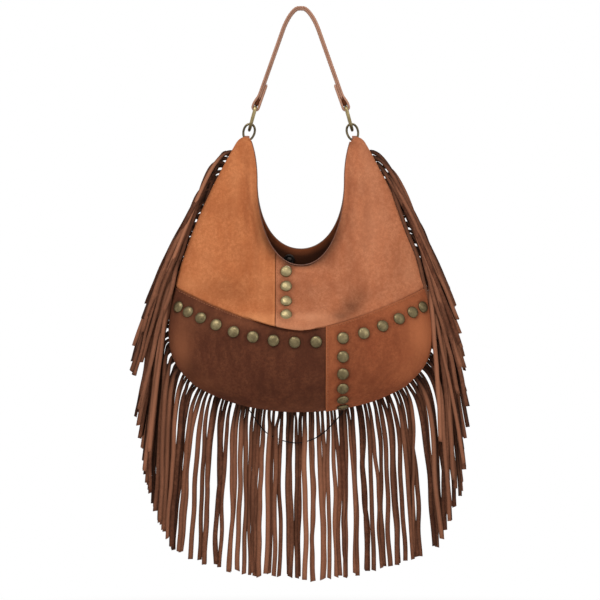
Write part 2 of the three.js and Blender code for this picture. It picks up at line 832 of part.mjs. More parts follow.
function cordGeometry() {
  const route = new THREE.CatmullRomCurve3(cordRoute.map((p) => new THREE.Vector3(...p)));
  const section = new THREE.Shape();
  section.absarc(0, 0, cordDiameter / 2, 0, Math.PI * 2, false);
  return new THREE.ExtrudeGeometry(section, {
    steps: 40,
    curveSegments: 3,
    extrudePath: route,
  });
}

// The whole bag as named meshes
const bag = new THREE.Group();

function addPiece(name, geometry, colour, roughness = 0.95, metalness = 0) {
  const material = new THREE.MeshStandardMaterial({ color: colour, roughness, metalness });
  const mesh = new THREE.Mesh(geometry, material);
  mesh.name = name;
  bag.add(mesh);
  return mesh;
}

function seatPiece(name, geometry, place, gap, colour) {
  const mesh = addPiece(name, geometry, colour, 0.35, 0.9);
  mesh.position.copy(place.point).addScaledVector(place.outward, gap);
  mesh.quaternion.setFromUnitVectors(new THREE.Vector3(0, 1, 0), place.outward);
}

addPiece("strap", strapGeometry(), colours.strap, 0.6);
for (const [word, side] of [["left", LEFT], ["right", RIGHT]]) {
  addPiece(`strap_link_${word}`, linkGeometry(side), colours.brass, 0.35, 0.9);
  addPiece(`ring_${word}`, ringGeometry(side, ringWire, 24), colours.darkBrass, 0.35, 0.9);
  addPiece(`ring_tab_${word}`, tabGeometry(side), colours.tanRight);
  addPiece(`fringe_${word}`, sideFringe(side), colours.fringe);
}
addPiece("fringe_bottom", bottomFringe(), colours.fringe);

const halfGap = seamGap / 2;
const panels = [
  ["front_upper_left_panel", upperPanelOutline(-sideX, upperSeamX - halfGap), colours.tanLeft],
  ["front_upper_right_panel", upperPanelOutline(upperSeamX + halfGap, sideX), colours.tanRight],
  ["front_lower_left_panel", lowerPanelOutline(-sideX, lowerSeamX - halfGap), colours.brownLeft],
  ["front_lower_right_panel", lowerPanelOutline(lowerSeamX + halfGap, sideX), colours.brownRight],
];
for (const [name, outline, colour] of panels) {
  addPiece(name, frontPanel(outline), colour);
}
addPiece("back_panel", backPanel(), colours.backSuede);
addPiece("mouth_facing_front", mouthFacing(frontCut, mouthFrontDrop), colours.facing);
addPiece("mouth_facing_back", mouthFacing(backCut, mouthBackDrop), colours.facing);
addPiece("lining", lining(), colours.lining);

// The snap sits on the back facing, and its other half faces it on the front facing
const snapInset = innerFaceInset + facingLeather;
for (const [word, drop, side] of [["back", mouthBackDrop, 1], ["front", mouthFrontDrop, -1]]) {
  const place = frontPlace(snapX, peakZ - drop - snapDropBelowEdge, snapInset);
  place.point.y *= -side;
  place.outward.negate();
  place.outward.y *= -side;
  seatPiece(`magnetic_snap_${word}`, snapGeometry(side === 1), place, seatGap, colours.darkBrass);
}

for (const [group, places] of Object.entries(studPlaces())) {
  places.forEach((place, i) => {
    const gap = seatGap + riseUnder(place, studRadius);
    seatPiece(`stud_${group}_${i + 1}`, studGeometry(), place, gap, colours.brass);
  });
}

addPiece("seam_cord", cordGeometry(), colours.cord, 0.7);

export default bag;
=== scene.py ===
"""The looks of a fringed suede shoulder bag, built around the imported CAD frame.

Lengths are in mm until a mesh is made.
"""

import math
import random

import bmesh
import bpy
import numpy as np
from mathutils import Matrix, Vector
from mathutils.bvhtree import BVHTree


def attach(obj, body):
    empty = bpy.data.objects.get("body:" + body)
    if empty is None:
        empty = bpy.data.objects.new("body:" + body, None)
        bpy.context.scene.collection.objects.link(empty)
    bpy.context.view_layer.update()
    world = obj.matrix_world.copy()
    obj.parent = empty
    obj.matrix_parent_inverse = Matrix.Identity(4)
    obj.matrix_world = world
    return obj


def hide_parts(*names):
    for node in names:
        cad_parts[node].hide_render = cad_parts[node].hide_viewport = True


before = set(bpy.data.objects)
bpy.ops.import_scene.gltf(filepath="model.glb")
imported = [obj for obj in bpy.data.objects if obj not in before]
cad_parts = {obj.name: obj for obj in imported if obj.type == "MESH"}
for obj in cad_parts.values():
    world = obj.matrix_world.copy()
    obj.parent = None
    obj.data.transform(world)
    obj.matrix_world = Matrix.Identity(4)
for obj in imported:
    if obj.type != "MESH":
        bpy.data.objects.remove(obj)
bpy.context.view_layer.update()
MM = 0.001
LEFT, RIGHT = -1, 1
ACROSS = np.array([0, 1.0, 0])

# ---------- camera ----------
VIEW_PX, PX = 600, 1.2
PHOTO_X, PHOTO_Y = 300.75, 10.3


def spot(px, py):
    """A place in the picture plane, in mm, from its place in the square view."""
    return ((px - PHOTO_X) * PX, (PHOTO_Y - py) * PX)


CAMERA_AWAY, SENSOR_MM = 7.0, 36
view_x, view_z = spot(VIEW_PX / 2, VIEW_PX / 2)
camera_data = bpy.data.cameras.new("camera")
camera_data.lens = SENSOR_MM * CAMERA_AWAY / (VIEW_PX * PX * MM)
camera_data.clip_end = 50
camera = bpy.data.objects.new("camera", camera_data)
camera.location = (view_x * MM, -CAMERA_AWAY, view_z * MM)
camera.rotation_euler = (math.pi / 2, 0, 0)
bpy.context.scene.collection.objects.link(camera)
bpy.context.scene.camera = camera


# ---------- numbers, lines and meshes ----------
def unit(value):
    """A value held between 0 and 1."""
    return np.clip(value, 0, 1)


def bell(gap, width):
    """1 where the gap is 0, and next to nothing at twice the width."""
    return np.exp(-(gap / width) ** 2)


def smoothstep(t):
    """A share from 0 to 1 with a soft start and end."""
    return t * t * (3 - 2 * t)


def headings(line):
    """The direction of a line at each of its points."""
    way = np.gradient(line, axis=0)
    return way / np.linalg.norm(way, axis=1, keepdims=True)


def offset_line(line, offset):
    """A line in a plane, moved sideways."""
    way = headings(line)
    return line + np.stack([-way[:, 1], way[:, 0]], 1) * offset


def mirrored(half):
    """A line that starts on the middle, with its mirror image before it."""
    return np.vstack([(half * [-1, 1])[::-1], half[1:]])


def joined(first, last):
    """A line, and then another one from its far end back to the point that both share."""
    return np.vstack([first, last[::-1][1:]])


def length_of(line):
    """The length of a line of points."""
    return float(np.linalg.norm(np.diff(np.asarray(line, float), axis=0), axis=1).sum())


def resample(line, ts):
    """Points of a line at the given shares of its length."""
    line = np.asarray(line, float)
    run = np.concatenate([[0], np.cumsum(np.linalg.norm(np.diff(line, axis=0), axis=1))])
    at = np.asarray(ts) * run[-1]
    return np.stack([np.interp(at, run, line[:, k]) for k in range(line.shape[1])], 1)


def bezier(p0, p1, p2, p3, n):
    """Points on a cubic curve from p0 to p3."""
    t = np.linspace(0, 1, n)[:, None]
    p0, p1, p2, p3 = map(np.asarray, (p0, p1, p2, p3))
    return (1 - t)**3 * p0 + 3 * (1 - t)**2 * t * p1 + 3 * (1 - t) * t**2 * p2 + t**3 * p3


def superellipse(sections, power, start=0.0):
    """Points round a section that gets squarer with the power."""
    turns = np.arange(sections) / sections * 2 * math.pi + start
    c, s = np.cos(turns), np.sin(turns)
    return np.sign(c) * np.abs(c) ** (2 / power), np.sign(s) * np.abs(s) ** (2 / power)


def catmull(points, per_span):
    """Points on a smooth curve through the given points."""
    p = np.asarray(points, float)
    p = np.vstack([2 * p[0] - p[1], p, 2 * p[-1] - p[-2]])
    out = []
    for i in range(1, len(p) - 2):
        for t in np.arange(per_span) / per_span:
            a, b, c, d = p[i - 1:i + 3]
            out.append(0.5 * (2 * b + (c - a) * t + (2 * a - 5 * b + 4 * c - d) * t**2
                              + (3 * b - a - 3 * c + d) * t**3))
    return np.array(out + [p[-2]])


def link_new(name, data):
    """A new object in the scene."""
    made = bpy.data.objects.new(name, data)
    bpy.context.scene.collection.objects.link(made)
    return made


WELD = 0.02


def make_mesh(name, verts, faces, material, attrs, weld=0.0):
    """A mesh object from points in mm, with float attributes for the materials."""
    mesh = bpy.data.meshes.new(name)
    mesh.from_pydata((np.asarray(verts, float) * MM).tolist(), [], [list(f) for f in faces])
    for key, values in attrs.items():
        mesh.attributes.new(key, "FLOAT", "POINT").data.foreach_set(
            "value", np.asarray(values, np.float32).ravel())
    bm = bmesh.new()
    bm.from_mesh(mesh)
    if weld:
        bmesh.ops.remove_doubles(bm, verts=bm.verts, dist=weld * MM)
        bmesh.ops.dissolve_degenerate(bm, edges=bm.edges, dist=0.002 * MM)
    bmesh.ops.recalc_face_normals(bm, faces=bm.faces)
    bm.to_mesh(mesh)
    bm.free()
    mesh.polygons.foreach_set("use_smooth", [True] * len(mesh.polygons))
    mesh.materials.append(material)
    return link_new(name, mesh)


def grid_faces(rows, cols, start=0, wrap_rows=False, wrap_cols=False):
    """The four-sided faces of a grid of points, joined round at its ends where it wraps."""
    faces = []
    for i in range(rows if wrap_rows else rows - 1):
        for j in range(cols if wrap_cols else cols - 1):
            a, b = start + i * cols, start + ((i + 1) % rows) * cols
            k = (j + 1) % cols
            faces.append((a + j, a + k, b + k, b + j))
    return faces


# ---------- materials ----------
def linear(r, g, b):
    """A colour as it is seen, 0 to 255, in Blender's linear values."""
    return tuple(((c / 255 + 0.055) / 1.055) ** 2.4 if c > 10 else c / 255 / 12.92
                 for c in (r, g, b)) + (1.0,)


class Graph:
    """A short way to write a node material."""

    def __init__(self, name):
        self.material = bpy.data.materials.new(name)
        self.material.use_nodes = True
        self.tree = self.material.node_tree
        self.tree.nodes.clear()
        self.shader = self.node("ShaderNodeBsdfPrincipled")
        out = self.node("ShaderNodeOutputMaterial")
        self.tree.links.new(self.shader.outputs[0], out.inputs[0])
        self.place = self.node("ShaderNodeTexCoord").outputs["Object"]

    def node(self, kind, settings=None, **inputs):
        """A node with its settings, and values or links by the names of its inputs."""
        made = self.tree.nodes.new(kind)
        for key, value in (settings or {}).items():
            setattr(made, key, value)
        for key, value in inputs.items():
            self.put(made.inputs[key.replace("_", " ")], value)
        return made

    def put(self, socket, value):
        """A link into the socket, or a value where there is nothing to link."""
        if isinstance(value, bpy.types.NodeSocket):
            self.tree.links.new(value, socket)
        else:
            socket.default_value = value

    def noise(self, scale, detail, roughness, stretch=None, distortion=0.0):
        """A noise texture in the object's own space."""
        place = self.place
        if stretch:
            place = self.node("ShaderNodeMapping", Vector=place, Scale=stretch).outputs[0]
        return self.node("ShaderNodeTexNoise", Vector=place, Scale=scale, Detail=detail,
                         Roughness=roughness, Distortion=distortion).outputs[0]

    def attribute(self, name):
        """A value that the mesh carries at each point."""
        return self.node("ShaderNodeAttribute", {"attribute_name": name}).outputs["Fac"]

    def ramp(self, value, low, high, to_low=0.0, to_high=1.0):
        """The value spread softly from one range over another."""
        made = self.node("ShaderNodeMapRange", {"clamp": True, "interpolation_type": "SMOOTHSTEP"},
                         Value=value)
        for i, number in enumerate((low, high, to_low, to_high)):
            made.inputs[i + 1].default_value = number
        return made.outputs[0]

    def multiply(self, a, b):
        """The product of two values or sockets."""
        made = self.node("ShaderNodeMath", {"operation": "MULTIPLY"})
        self.put(made.inputs[0], a)
        self.put(made.inputs[1], b)
        return made.outputs[0]

    def layers(self, base, *rows):
        """The base colour with others laid over it. A row gives a colour, its share and its strength."""
        colour = linear(*base)
        for over, share, strength in rows:
            made = self.node("ShaderNodeMix", {"data_type": "RGBA", "blend_type": "MIX"})
            share = share if strength == 1 else self.multiply(share, strength)
            for index, value in ((0, share), (6, colour), (7, linear(*over))):
                self.put(made.inputs[index], value)
            colour = made.outputs[2]
        return colour

    def bump(self, height, strength, distance, below=None):
        """A bumped normal over the one below."""
        made = self.node("ShaderNodeBump", Height=height, Strength=strength, Distance=distance * MM)
        if below is not None:
            self.put(made.inputs["Normal"], below)
        return made.outputs[0]

    def finish(self, colour, roughness, normal, **constants):
        """Wire the shader up and give the material."""
        self.put(self.shader.inputs["Base Color"], colour)
        self.put(self.shader.inputs["Roughness"], roughness)
        self.put(self.shader.inputs["Normal"], normal)
        for key, value in constants.items():
            self.shader.inputs[key.replace("_", " ")].default_value = value
        return self.material


def darker(colour, share=0.3):
    """The colour that a material has where it is shaded."""
    return [share * c for c in colour]


def suede(name, base, dark, light, strip=False):
    """Napped suede: cloudy patches, brushed streaks and specks, painted shade in creases, lighter edges
    from wear and painted highlights.
    """
    g = Graph(name)
    clouds = g.ramp(g.noise(60 if strip else 22, 4, 0.6, distortion=0.6), 0.4, 0.62)
    brushed = g.ramp(g.noise(95, 3, 0.6, stretch=(1.0, 1.0, 0.35)), 0.3, 0.7)
    mottle = g.ramp(g.noise(270, 4, 0.7), 0.36, 0.64)
    speck = g.ramp(g.noise(620, 2, 0.6), 0.35, 0.7)
    rows = [(dark, clouds, 0.5), (light, brushed, 0.3), (dark, mottle, 0.5), (dark, speck, 0.3),
            (light, g.attribute("pale"), 0.9)]
    if strip:
        rows.append((light, g.ramp(g.attribute("tone"), 0.0, 1.0, 0.0, 0.8), 1))
    colour = g.layers(base, *rows, (darker(dark), g.attribute("shade"), 0.9))
    normal = g.bump(g.noise(230, 4, 0.6), 0.4, 0.6)
    normal = g.bump(g.noise(1500, 2, 0.7), 0.55, 0.22, normal)
    return g.finish(colour, g.ramp(speck, 0, 1, 0.86, 0.97), normal, Sheen_Weight=0.1,
                    Sheen_Roughness=0.45, Sheen_Tint=linear(*light), Specular_IOR_Level=0.12)


def smooth_leather(name, base, dark, light, grain=1100, roughness=0.5, relief=1.0, specular=0.35):
    """Finished leather: soft patches, fine wrinkles and pores, with the painted shade and highlights that
    the mesh carries.
    """
    g = Graph(name)
    patches = g.ramp(g.noise(40, 4, 0.6), 0.35, 0.7)
    pores = g.node("ShaderNodeTexVoronoi", Vector=g.place, Scale=grain).outputs["Distance"]
    wrinkle = g.noise(330, 4, 0.65)
    colour = g.layers(base, (dark, patches, 0.5), (light, g.ramp(wrinkle, 0.42, 0.7), 0.25),
                      (light, g.attribute("pale"), 0.7), (darker(dark), g.attribute("shade"), 0.9))
    normal = g.bump(wrinkle, 0.3, 0.3 * relief)
    normal = g.bump(pores, 0.35, 0.14 * relief, normal)
    return g.finish(colour, g.ramp(wrinkle, 0.3, 0.7, roughness - 0.06, roughness + 0.12), normal,
                    Specular_IOR_Level=specular)


def brass(name, base, dark, light, roughness):
    """Cast antique brass: patchy dark patina and lighter clouds, painted shade low down and painted
    highlights with some wear up top.
    """
    g = Graph(name)
    patina = g.ramp(g.noise(330, 5, 0.7), 0.38, 0.68)
    cloud = g.ramp(g.noise(120, 3, 0.5), 0.35, 0.7)
    colour = g.layers(base, (dark, patina, 0.65), (light, cloud, 0.35), (light, g.attribute("pale"), 1),
                      (darker(dark, 0.28), g.attribute("shade"), 1))
    normal = g.bump(g.noise(420, 4, 0.6), 0.35, 0.18)
    return g.finish(colour, g.ramp(patina, 0, 1, roughness, roughness + 0.2), normal, Metallic=1.0)


def woven(name, base, dark):
    """Plain cloth: two crossing sets of threads."""
    g = Graph(name)
    weave = g.multiply(*(g.node("ShaderNodeTexWave", {"bands_direction": way}, Vector=g.place,
                                Scale=420.0).outputs[1] for way in "XZ"))
    return g.finish(g.layers(base, (dark, weave, 1)), 0.9, g.bump(weave, 0.5, 0.2), Sheen_Weight=0.1,
                    Specular_IOR_Level=0.2)


def thread(name, base, dark, roughness):
    """Thread or cord: an even colour with a very fine fleck."""
    g = Graph(name)
    fleck = g.noise(2500, 3, 0.6)
    colour = g.layers(base, (dark, g.ramp(fleck, 0.3, 0.7), 1))
    return g.finish(colour, roughness, g.bump(fleck, 0.4, 0.1), Specular_IOR_Level=0.3)


SUEDE = {
    "tan": suede("suede_tan", (194, 116, 70), (160, 88, 50), (222, 148, 98)),
    "rose": suede("suede_rose", (188, 115, 78), (154, 88, 58), (214, 148, 110)),
    "brown": suede("suede_brown", (92, 49, 32), (70, 36, 23), (140, 84, 56)),
    "russet": suede("suede_russet", (147, 78, 48), (117, 60, 36), (188, 112, 72)),
    "back": suede("suede_back", (168, 100, 62), (134, 76, 46), (196, 128, 88)),
}
FRINGE_SUEDE = suede("fringe_suede", (104, 60, 41), (62, 33, 22), (178, 118, 88), strip=True)
STRAP_LEATHER = smooth_leather("strap_leather", (178, 130, 105), (150, 104, 82), (200, 154, 128),
                               relief=0.15)
EDGE_PAINT = smooth_leather("edge_paint", (112, 84, 70), (84, 60, 48), (146, 114, 96), 700, 0.5, 0.5)
TAB_LEATHER = smooth_leather("tab_leather", (146, 92, 68), (108, 64, 46), (176, 120, 92), 1000, 0.6)
FACING_LEATHER = smooth_leather("facing_leather", (150, 78, 42), (96, 46, 23), (170, 106, 68), 1000, 0.75,
                                0.5, 0.1)
LINK_BRASS = brass("link_brass", (128, 110, 76), (72, 60, 40), (196, 178, 130), 0.28)
RING_BRASS = brass("ring_brass", (92, 82, 64), (52, 45, 35), (150, 136, 106), 0.32)
STUD_BRASS = brass("stud_brass", (114, 100, 72), (72, 62, 44), (160, 146, 108), 0.38)
SNAP_METAL = brass("snap_metal", (44, 38, 35), (26, 22, 20), (80, 74, 70), 0.42)
THREAD = thread("thread", (176, 112, 74), (138, 82, 52), 0.8)
STRAP_THREAD = thread("strap_thread", (180, 132, 108), (156, 110, 88), 0.8)
CORD_THREAD = thread("cord_thread", (20, 14, 13), (10, 8, 8), 0.9)
LINING_CLOTH = woven("lining_cloth", (66, 48, 38), (38, 27, 22))

# ---------- the cord, built before the other pieces -------------
CORD_DIAMETER = 1.2
CORD_ROUTE = [
    (-64.2, 1.9, -476.6), (-58.5, 3.4, -484.5), (-51.0, 4.6, -495.5), (-43.8, 4.6, -504.6),
    (-35.6, 4.6, -510.6), (-21.0, 4.6, -516.6), (-4.2, 4.6, -519.4), (12.6, 4.6, -515.6),
    (26.8, 4.6, -507.6), (39.6, 4.6, -495.0), (46.5, 3.4, -487.0), (51.5, 1.9, -480.2),
]
cord_curve = bpy.data.curves.new("seam_cord_line", "CURVE")
cord_curve.dimensions = "3D"
cord_points = catmull(CORD_ROUTE, 3)
cord_line = cord_curve.splines.new("POLY")
cord_line.points.add(len(cord_points) - 1)
for line_point, place in zip(cord_line.points, cord_points):
    line_point.co = (*(place * MM), 1)
cord_curve.bevel_depth = CORD_DIAMETER / 2 * MM
cord_curve.bevel_resolution = 3
cord_curve.use_fill_caps = True
cord_curve.materials.append(CORD_THREAD)
cord = link_new("hanging_cord", cord_curve)
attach(cord, "pouch")
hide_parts("seam_cord")

# ---------- the pouch's form ----------
PEAK_Z = -152.45
POUCH_HALF, POUCH_UPPER, POUCH_LOWER = 158.8, 232.5, 96.6
FLOOR_DROP, CORNER_DROP = POUCH_UPPER + POUCH_LOWER, POUCH_UPPER + POUCH_LOWER * 0.74
PEAK_HALF, PEAK_HALF_DEPTH = 73.63, 7.0
BELLY_HALF, MOUTH_HALF_DEPTH = 60.0, 23.0
FRONT_DROP, BACK_DROP = 153.7, 133.8
FULLEST = POUCH_UPPER * 1.06
SIDE_BOW, BOTTOM_BOW = 1.62, 2.5
SEAM_Y = 1.0
RING_FOOT_X = 64.63


def half_width(drop, inset=0.0):
    """The pouch's half width at a drop below its peaks."""
    drop = np.asarray(drop, float)
    left = 1 - unit(drop / POUCH_UPPER)
    upper = POUCH_HALF + (PEAK_HALF - POUCH_HALF) * left**SIDE_BOW
    sunk = unit((drop - POUCH_UPPER) / (POUCH_LOWER - inset))
    return np.where(drop > POUCH_UPPER, (POUCH_HALF - inset) * np.sqrt(1 - sunk**BOTTOM_BOW), upper - inset)


def half_depth(drop, inset=0.0):
    """The pouch's half depth on its middle line at a drop below its peaks."""
    drop = np.asarray(drop, float)
    sunk = unit((drop - FULLEST) / (POUCH_UPPER + POUCH_LOWER - FULLEST - inset))
    below = (BELLY_HALF - inset) * (1 - sunk**2.4) ** (1 / 2.6)
    slim = PEAK_HALF_DEPTH + (MOUTH_HALF_DEPTH - PEAK_HALF_DEPTH) * unit(drop / FRONT_DROP)
    start = FRONT_DROP * 0.93
    swell = (1 - np.cos(np.pi * unit((drop - start) / (FULLEST - start)))) / 2
    return np.where(drop > FULLEST, below, slim + (BELLY_HALF - slim) * swell - inset)


def surface_depth(x, z, inset=0.0):
    """How far the pouch's surface stands from the seam's plane. Its section is squarer near the peaks."""
    drop = PEAK_Z - z
    square = np.exp(-np.maximum(drop, 0) / 18)
    across = unit(np.abs(x) / np.maximum(half_width(drop, inset), 1e-6))
    return half_depth(drop, inset) * (1 - across ** (2.4 + 9.6 * square)) ** (1 / (2 + square))


def band_top(x):
    """The height of the seam between the upper and the lower panels."""
    return PEAK_Z - 231.5 + 55.6 * (np.abs(x) / POUCH_HALF) ** 1.5


def drop_where_half_width(x):
    """The drop on the bottom curve at which the outline is |x| wide."""
    share = min(1.0, abs(x) / POUCH_HALF)
    return POUCH_UPPER + POUCH_LOWER * (1 - share**2) ** (1 / BOTTOM_BOW)


def mouth_half(drop, side, margin=0.0):
    """One half of the mouth's edge in x and z, from the peak to the foot of the U."""
    peak, neck = RING_FOOT_X - 3.5 + margin, 52.5 + margin
    neck_z, foot_z = PEAK_Z - 52.5, PEAK_Z - drop - margin
    belly_z = neck_z + 0.58 * (foot_z - neck_z)
    upper_z = PEAK_Z + 0.4 * (neck_z - PEAK_Z)
    a = np.array([peak, PEAK_Z])
    b = np.array([neck, upper_z])
    c = np.array([neck, neck_z])
    top = bezier(a, a + (b - a) * 2 / 3, c + (b - c) * 2 / 3, c, 24)
    low = bezier(c, (neck, belly_z), (neck * 0.6, foot_z), (0, foot_z), 60)
    line = np.vstack([top, low[1:]])
    return line * [side, 1]


def outline(side, from_drop, to_drop, n=160):
    """The side seam in x and z between two drops."""
    turn = np.linspace(0, 1, n)
    drops = from_drop + (to_drop - from_drop) * turn
    if to_drop > POUCH_UPPER + 5:
        start = max(from_drop, POUCH_UPPER)
        upper = np.linspace(from_drop, start, n // 2) if from_drop < POUCH_UPPER else np.array([from_drop])
        a0 = np.arcsin(min(1, (start - POUCH_UPPER) / POUCH_LOWER))
        a1 = np.arcsin(min(1, (to_drop - POUCH_UPPER) / POUCH_LOWER))
        lower = POUCH_UPPER + POUCH_LOWER * np.sin(np.linspace(a0, a1, n))
        drops = np.concatenate([upper, lower[1:]])
    return np.stack([side * half_width(drops), PEAK_Z - drops], 1)


def coons(top, bottom, left, right, us, vs):
    """Points of a four-sided patch: top and bottom run left to right, left and right run downwards."""
    t, b, l, r = resample(top, us), resample(bottom, us), resample(left, vs), resample(right, vs)
    u, v = us[None, :, None], vs[:, None, None]
    corners = (1 - u) * (1 - v) * t[0] + u * (1 - v) * t[-1] + (1 - u) * v * b[0] + u * v * b[-1]
    return (1 - v) * t[None] + v * b[None] + (1 - u) * l[:, None] + u * r[:, None] - corners


def mouth_line(drop, margin=0.0):
    """The whole edge of the mouth from left to right, or a line that far below it."""
    return joined(mouth_half(drop, LEFT, margin), mouth_half(drop, RIGHT, margin))


MOUTH_FRONT, MOUTH_BACK = mouth_line(FRONT_DROP), mouth_line(BACK_DROP)
# Distances from a panel's side at which its grid has a line, at a seam and at a rounded edge
SEAM_STOPS = [0, 0.12, 0.3, 0.6, 1.0, 1.6, 2.5, 4, 6, 8.5]
EDGE_STOPS = [0, 0.04, 0.15, 0.35, 0.65, 1.1, 1.7, 2.5, 3.5, 4.8, 6.4, 8.4]
# The same at an upper panel's foot, where the lip rolls over the band
FOOT_STOPS = [0, 0.15, 0.4, 0.8, 1.3, 2, 2.8, 3.6, 4.4, 5.2, 6.1, 7.2, 8.5, 10, 12, 14.5]


def stops(length, start, end, step=3.2):
    """Shares along a side, close together at both ends."""
    head = np.array(start) / length
    tail = 1 - np.array(end)[::-1] / length
    n = max(2, int(round((tail[0] - head[-1]) * length / step)))
    return np.concatenate([head, np.linspace(head[-1], tail[0], n + 1)[1:-1], tail])


def grid_runs(p):
    """For every point of a grid, its distance along the grid to the left, right, top and bottom sides."""
    du = np.linalg.norm(np.diff(p, axis=1), axis=2)
    dv = np.linalg.norm(np.diff(p, axis=0), axis=2)
    left = np.concatenate([np.zeros((len(p), 1)), np.cumsum(du, 1)], 1)
    top = np.concatenate([np.zeros((1, p.shape[1])), np.cumsum(dv, 0)], 0)
    return left, left[:, -1:] - left, top, top[-1:] - top


def grid_normals(p, toward):
    """A grid's normals, on the side that looks toward -Y or +Y."""
    du, dv = np.gradient(p, axis=1), np.gradient(p, axis=0)
    n = np.cross(du, dv)
    size = np.linalg.norm(n, axis=2, keepdims=True)
    n = n / np.maximum(size, 1e-9)
    if (n[..., 1] * toward).sum() < 0:
        n = -n
    weak = size[..., 0] < 1e-7
    n[weak] = (0, toward, 0)
    return n


def shell(name, mid, normal, thickness, runs, rim, material, shade, pale):
    """A closed skin whose outer face is the given grid, with its edges rounded off."""
    nearest = np.minimum.reduce(runs)
    round_off = np.sqrt(unit(1 - (1 - unit(nearest / rim)) ** 2))[..., None]
    half = thickness / 2
    centre = mid - normal * half
    outer, inner = centre + normal * half * round_off, centre - normal * half * round_off
    rows, cols = mid.shape[:2]
    verts = np.vstack([outer.reshape(-1, 3), inner.reshape(-1, 3)])
    faces = grid_faces(rows, cols) + grid_faces(rows, cols, rows * cols)
    attrs = {key: np.tile(unit(value).ravel(), 2) for key, value in (("shade", shade), ("pale", pale))}
    return make_mesh(name, verts, faces, material, attrs, weld=WELD)


def waves(x, z, seed, length, height):
    """Gentle unevenness, as a sum of a few slanting waves."""
    rng = random.Random(seed)
    total = np.zeros_like(x)
    for _ in range(7):
        turn, phase, scale = rng.uniform(0, math.pi), rng.uniform(0, 6.3), rng.uniform(0.6, 1.6)
        k = 2 * math.pi / (length * scale)
        total += np.sin((x * math.cos(turn) + z * math.sin(turn)) * k + phase) * scale
    return total * height / 5


def gap_to(x, z, line):
    """Every point's distance to a line, and how far along the line its nearest point is, 0 to 1."""
    best, where = np.full(x.shape, 1e9), np.zeros(x.shape)
    for i, (a, b) in enumerate(zip(line[:-1], line[1:])):
        d = b - a
        t = unit(((x - a[0]) * d[0] + (z - a[1]) * d[1]) / max(d @ d, 1e-9))
        gap = np.hypot(x - a[0] - t * d[0], z - a[1] - t * d[1])
        where = np.where(gap < best, (i + t) / (len(line) - 1), where)
        best = np.minimum(gap, best)
    return best, where


def ridge(x, z, points, width, height):
    """A soft fold along a line through the given view places."""
    line = catmull([(*spot(*p), 0) for p in points], 5)[:, :2]
    gap, where = gap_to(x, z, line)
    fade = np.sin(np.pi * np.clip(where, 0.02, 0.98)) ** 0.6
    return height * fade * bell(gap, width)


def blobs(x, z, places):
    """Soft round patches. Each has a view place, a reach across and down in view units, and a strength."""
    total = np.zeros_like(x)
    for px, py, across, down, strength in places:
        cx, cz = spot(px, py)
        total += strength * np.exp(-((x - cx) / (across * PX)) ** 2 - ((z - cz) / (down * PX)) ** 2)
    return total


FRONT_FOLDS = [
    ([(250, 158), (253, 195), (260, 230), (272, 266)], 5.0, 3.6),
    ([(245, 168), (247, 205), (253, 235), (262, 268)], 4.5, -3.0),
    ([(236, 165), (239, 205), (244, 245), (254, 285)], 8, 3.0),
    ([(258, 205), (266, 240), (278, 262)], 3.4, -2.0),
    ([(228, 215), (231, 250), (240, 290)], 7, -1.2),
    ([(216, 225), (214, 262), (222, 292)], 9, 1.3),
    ([(349, 150), (351, 190), (348, 225), (340, 252)], 4.2, -3.4),
    ([(358, 158), (361, 215), (358, 262)], 6.5, 2.8),
    ([(370, 190), (374, 235), (370, 275)], 7, -1.2),
    ([(383, 200), (390, 245), (392, 280)], 9, 1.2),
    ([(336, 318), (352, 304), (368, 286)], 9, -4.0),
    ([(296, 318), (322, 311), (344, 296), (356, 270)], 10, 3.4),
    ([(366, 306), (385, 293), (405, 280)], 9, 1.6),
]


def front_off(x, z):
    """How far the front's skin stands off its plain form. Every layer of the front follows it."""
    folds = waves(x, z, 3, 95, 1.0) + waves(x, z, 8, 38, 0.4) + waves(x, z, 9, 19, 0.12)
    for points, width, height in FRONT_FOLDS:
        folds += ridge(x, z, points, width, height)
    to_side = np.minimum(half_width(PEAK_Z - z) - np.abs(x), 60)
    to_mouth = gap_to(x, z, MOUTH_FRONT)[0]
    above = z - band_top(x)
    calm = 1 - bell(np.maximum(to_side, 0), 13)
    calm = calm * (1 - bell(np.maximum(above, 0), 9)) * (0.35 + 0.65 * unit(to_mouth / 8))
    turn = 1 - unit(to_mouth / 9)
    deep_enough = unit((PEAK_Z - z - 28) / 60)
    return folds * calm - 4.8 * deep_enough * (1 - np.sqrt(1 - turn**2))


UPPER_SEAM, LOWER_SEAM = -30.0, 31.0
PEAK_TOP_DROP, MOUTH_TOP_DROP, MOUTH_TOP_X = 7.0, 5.0, RING_FOOT_X - 4.2
TUCK = 4.0
SUEDE_THICK = 1.4


def peak_edge(side):
    """The rounded top of a peak, from the side seam to the mouth's edge."""
    outer = (side * float(half_width(PEAK_TOP_DROP)), PEAK_Z - PEAK_TOP_DROP)
    inner = (side * MOUTH_TOP_X, PEAK_Z - MOUTH_TOP_DROP)
    return bezier(outer, (side * 73.2, PEAK_Z + 1.2), (side * 65, PEAK_Z + 3.2), inner, 20)


def mouth_from_peak(drop, side):
    """One half of the mouth's edge, from where the peak's rounded top ends."""
    line = mouth_half(drop, side)
    keep = line[line[:, 1] < PEAK_Z - MOUTH_TOP_DROP]
    return np.vstack([[side * MOUTH_TOP_X, PEAK_Z - MOUTH_TOP_DROP], keep])


def side_drop_at_band():
    """The drop at which the band's top edge meets the side seam."""
    drop = 180.0
    for _ in range(30):
        drop = float(PEAK_Z - band_top(half_width(drop)))
    return drop


BAND_SIDE_DROP = side_drop_at_band()


def band_line(from_x, to_x, below=0.0, n=60):
    """The top edge of the lower band between two places, or a line that far below it."""
    xs = np.linspace(from_x, to_x, n)
    return np.stack([xs, band_top(xs) - below], 1)


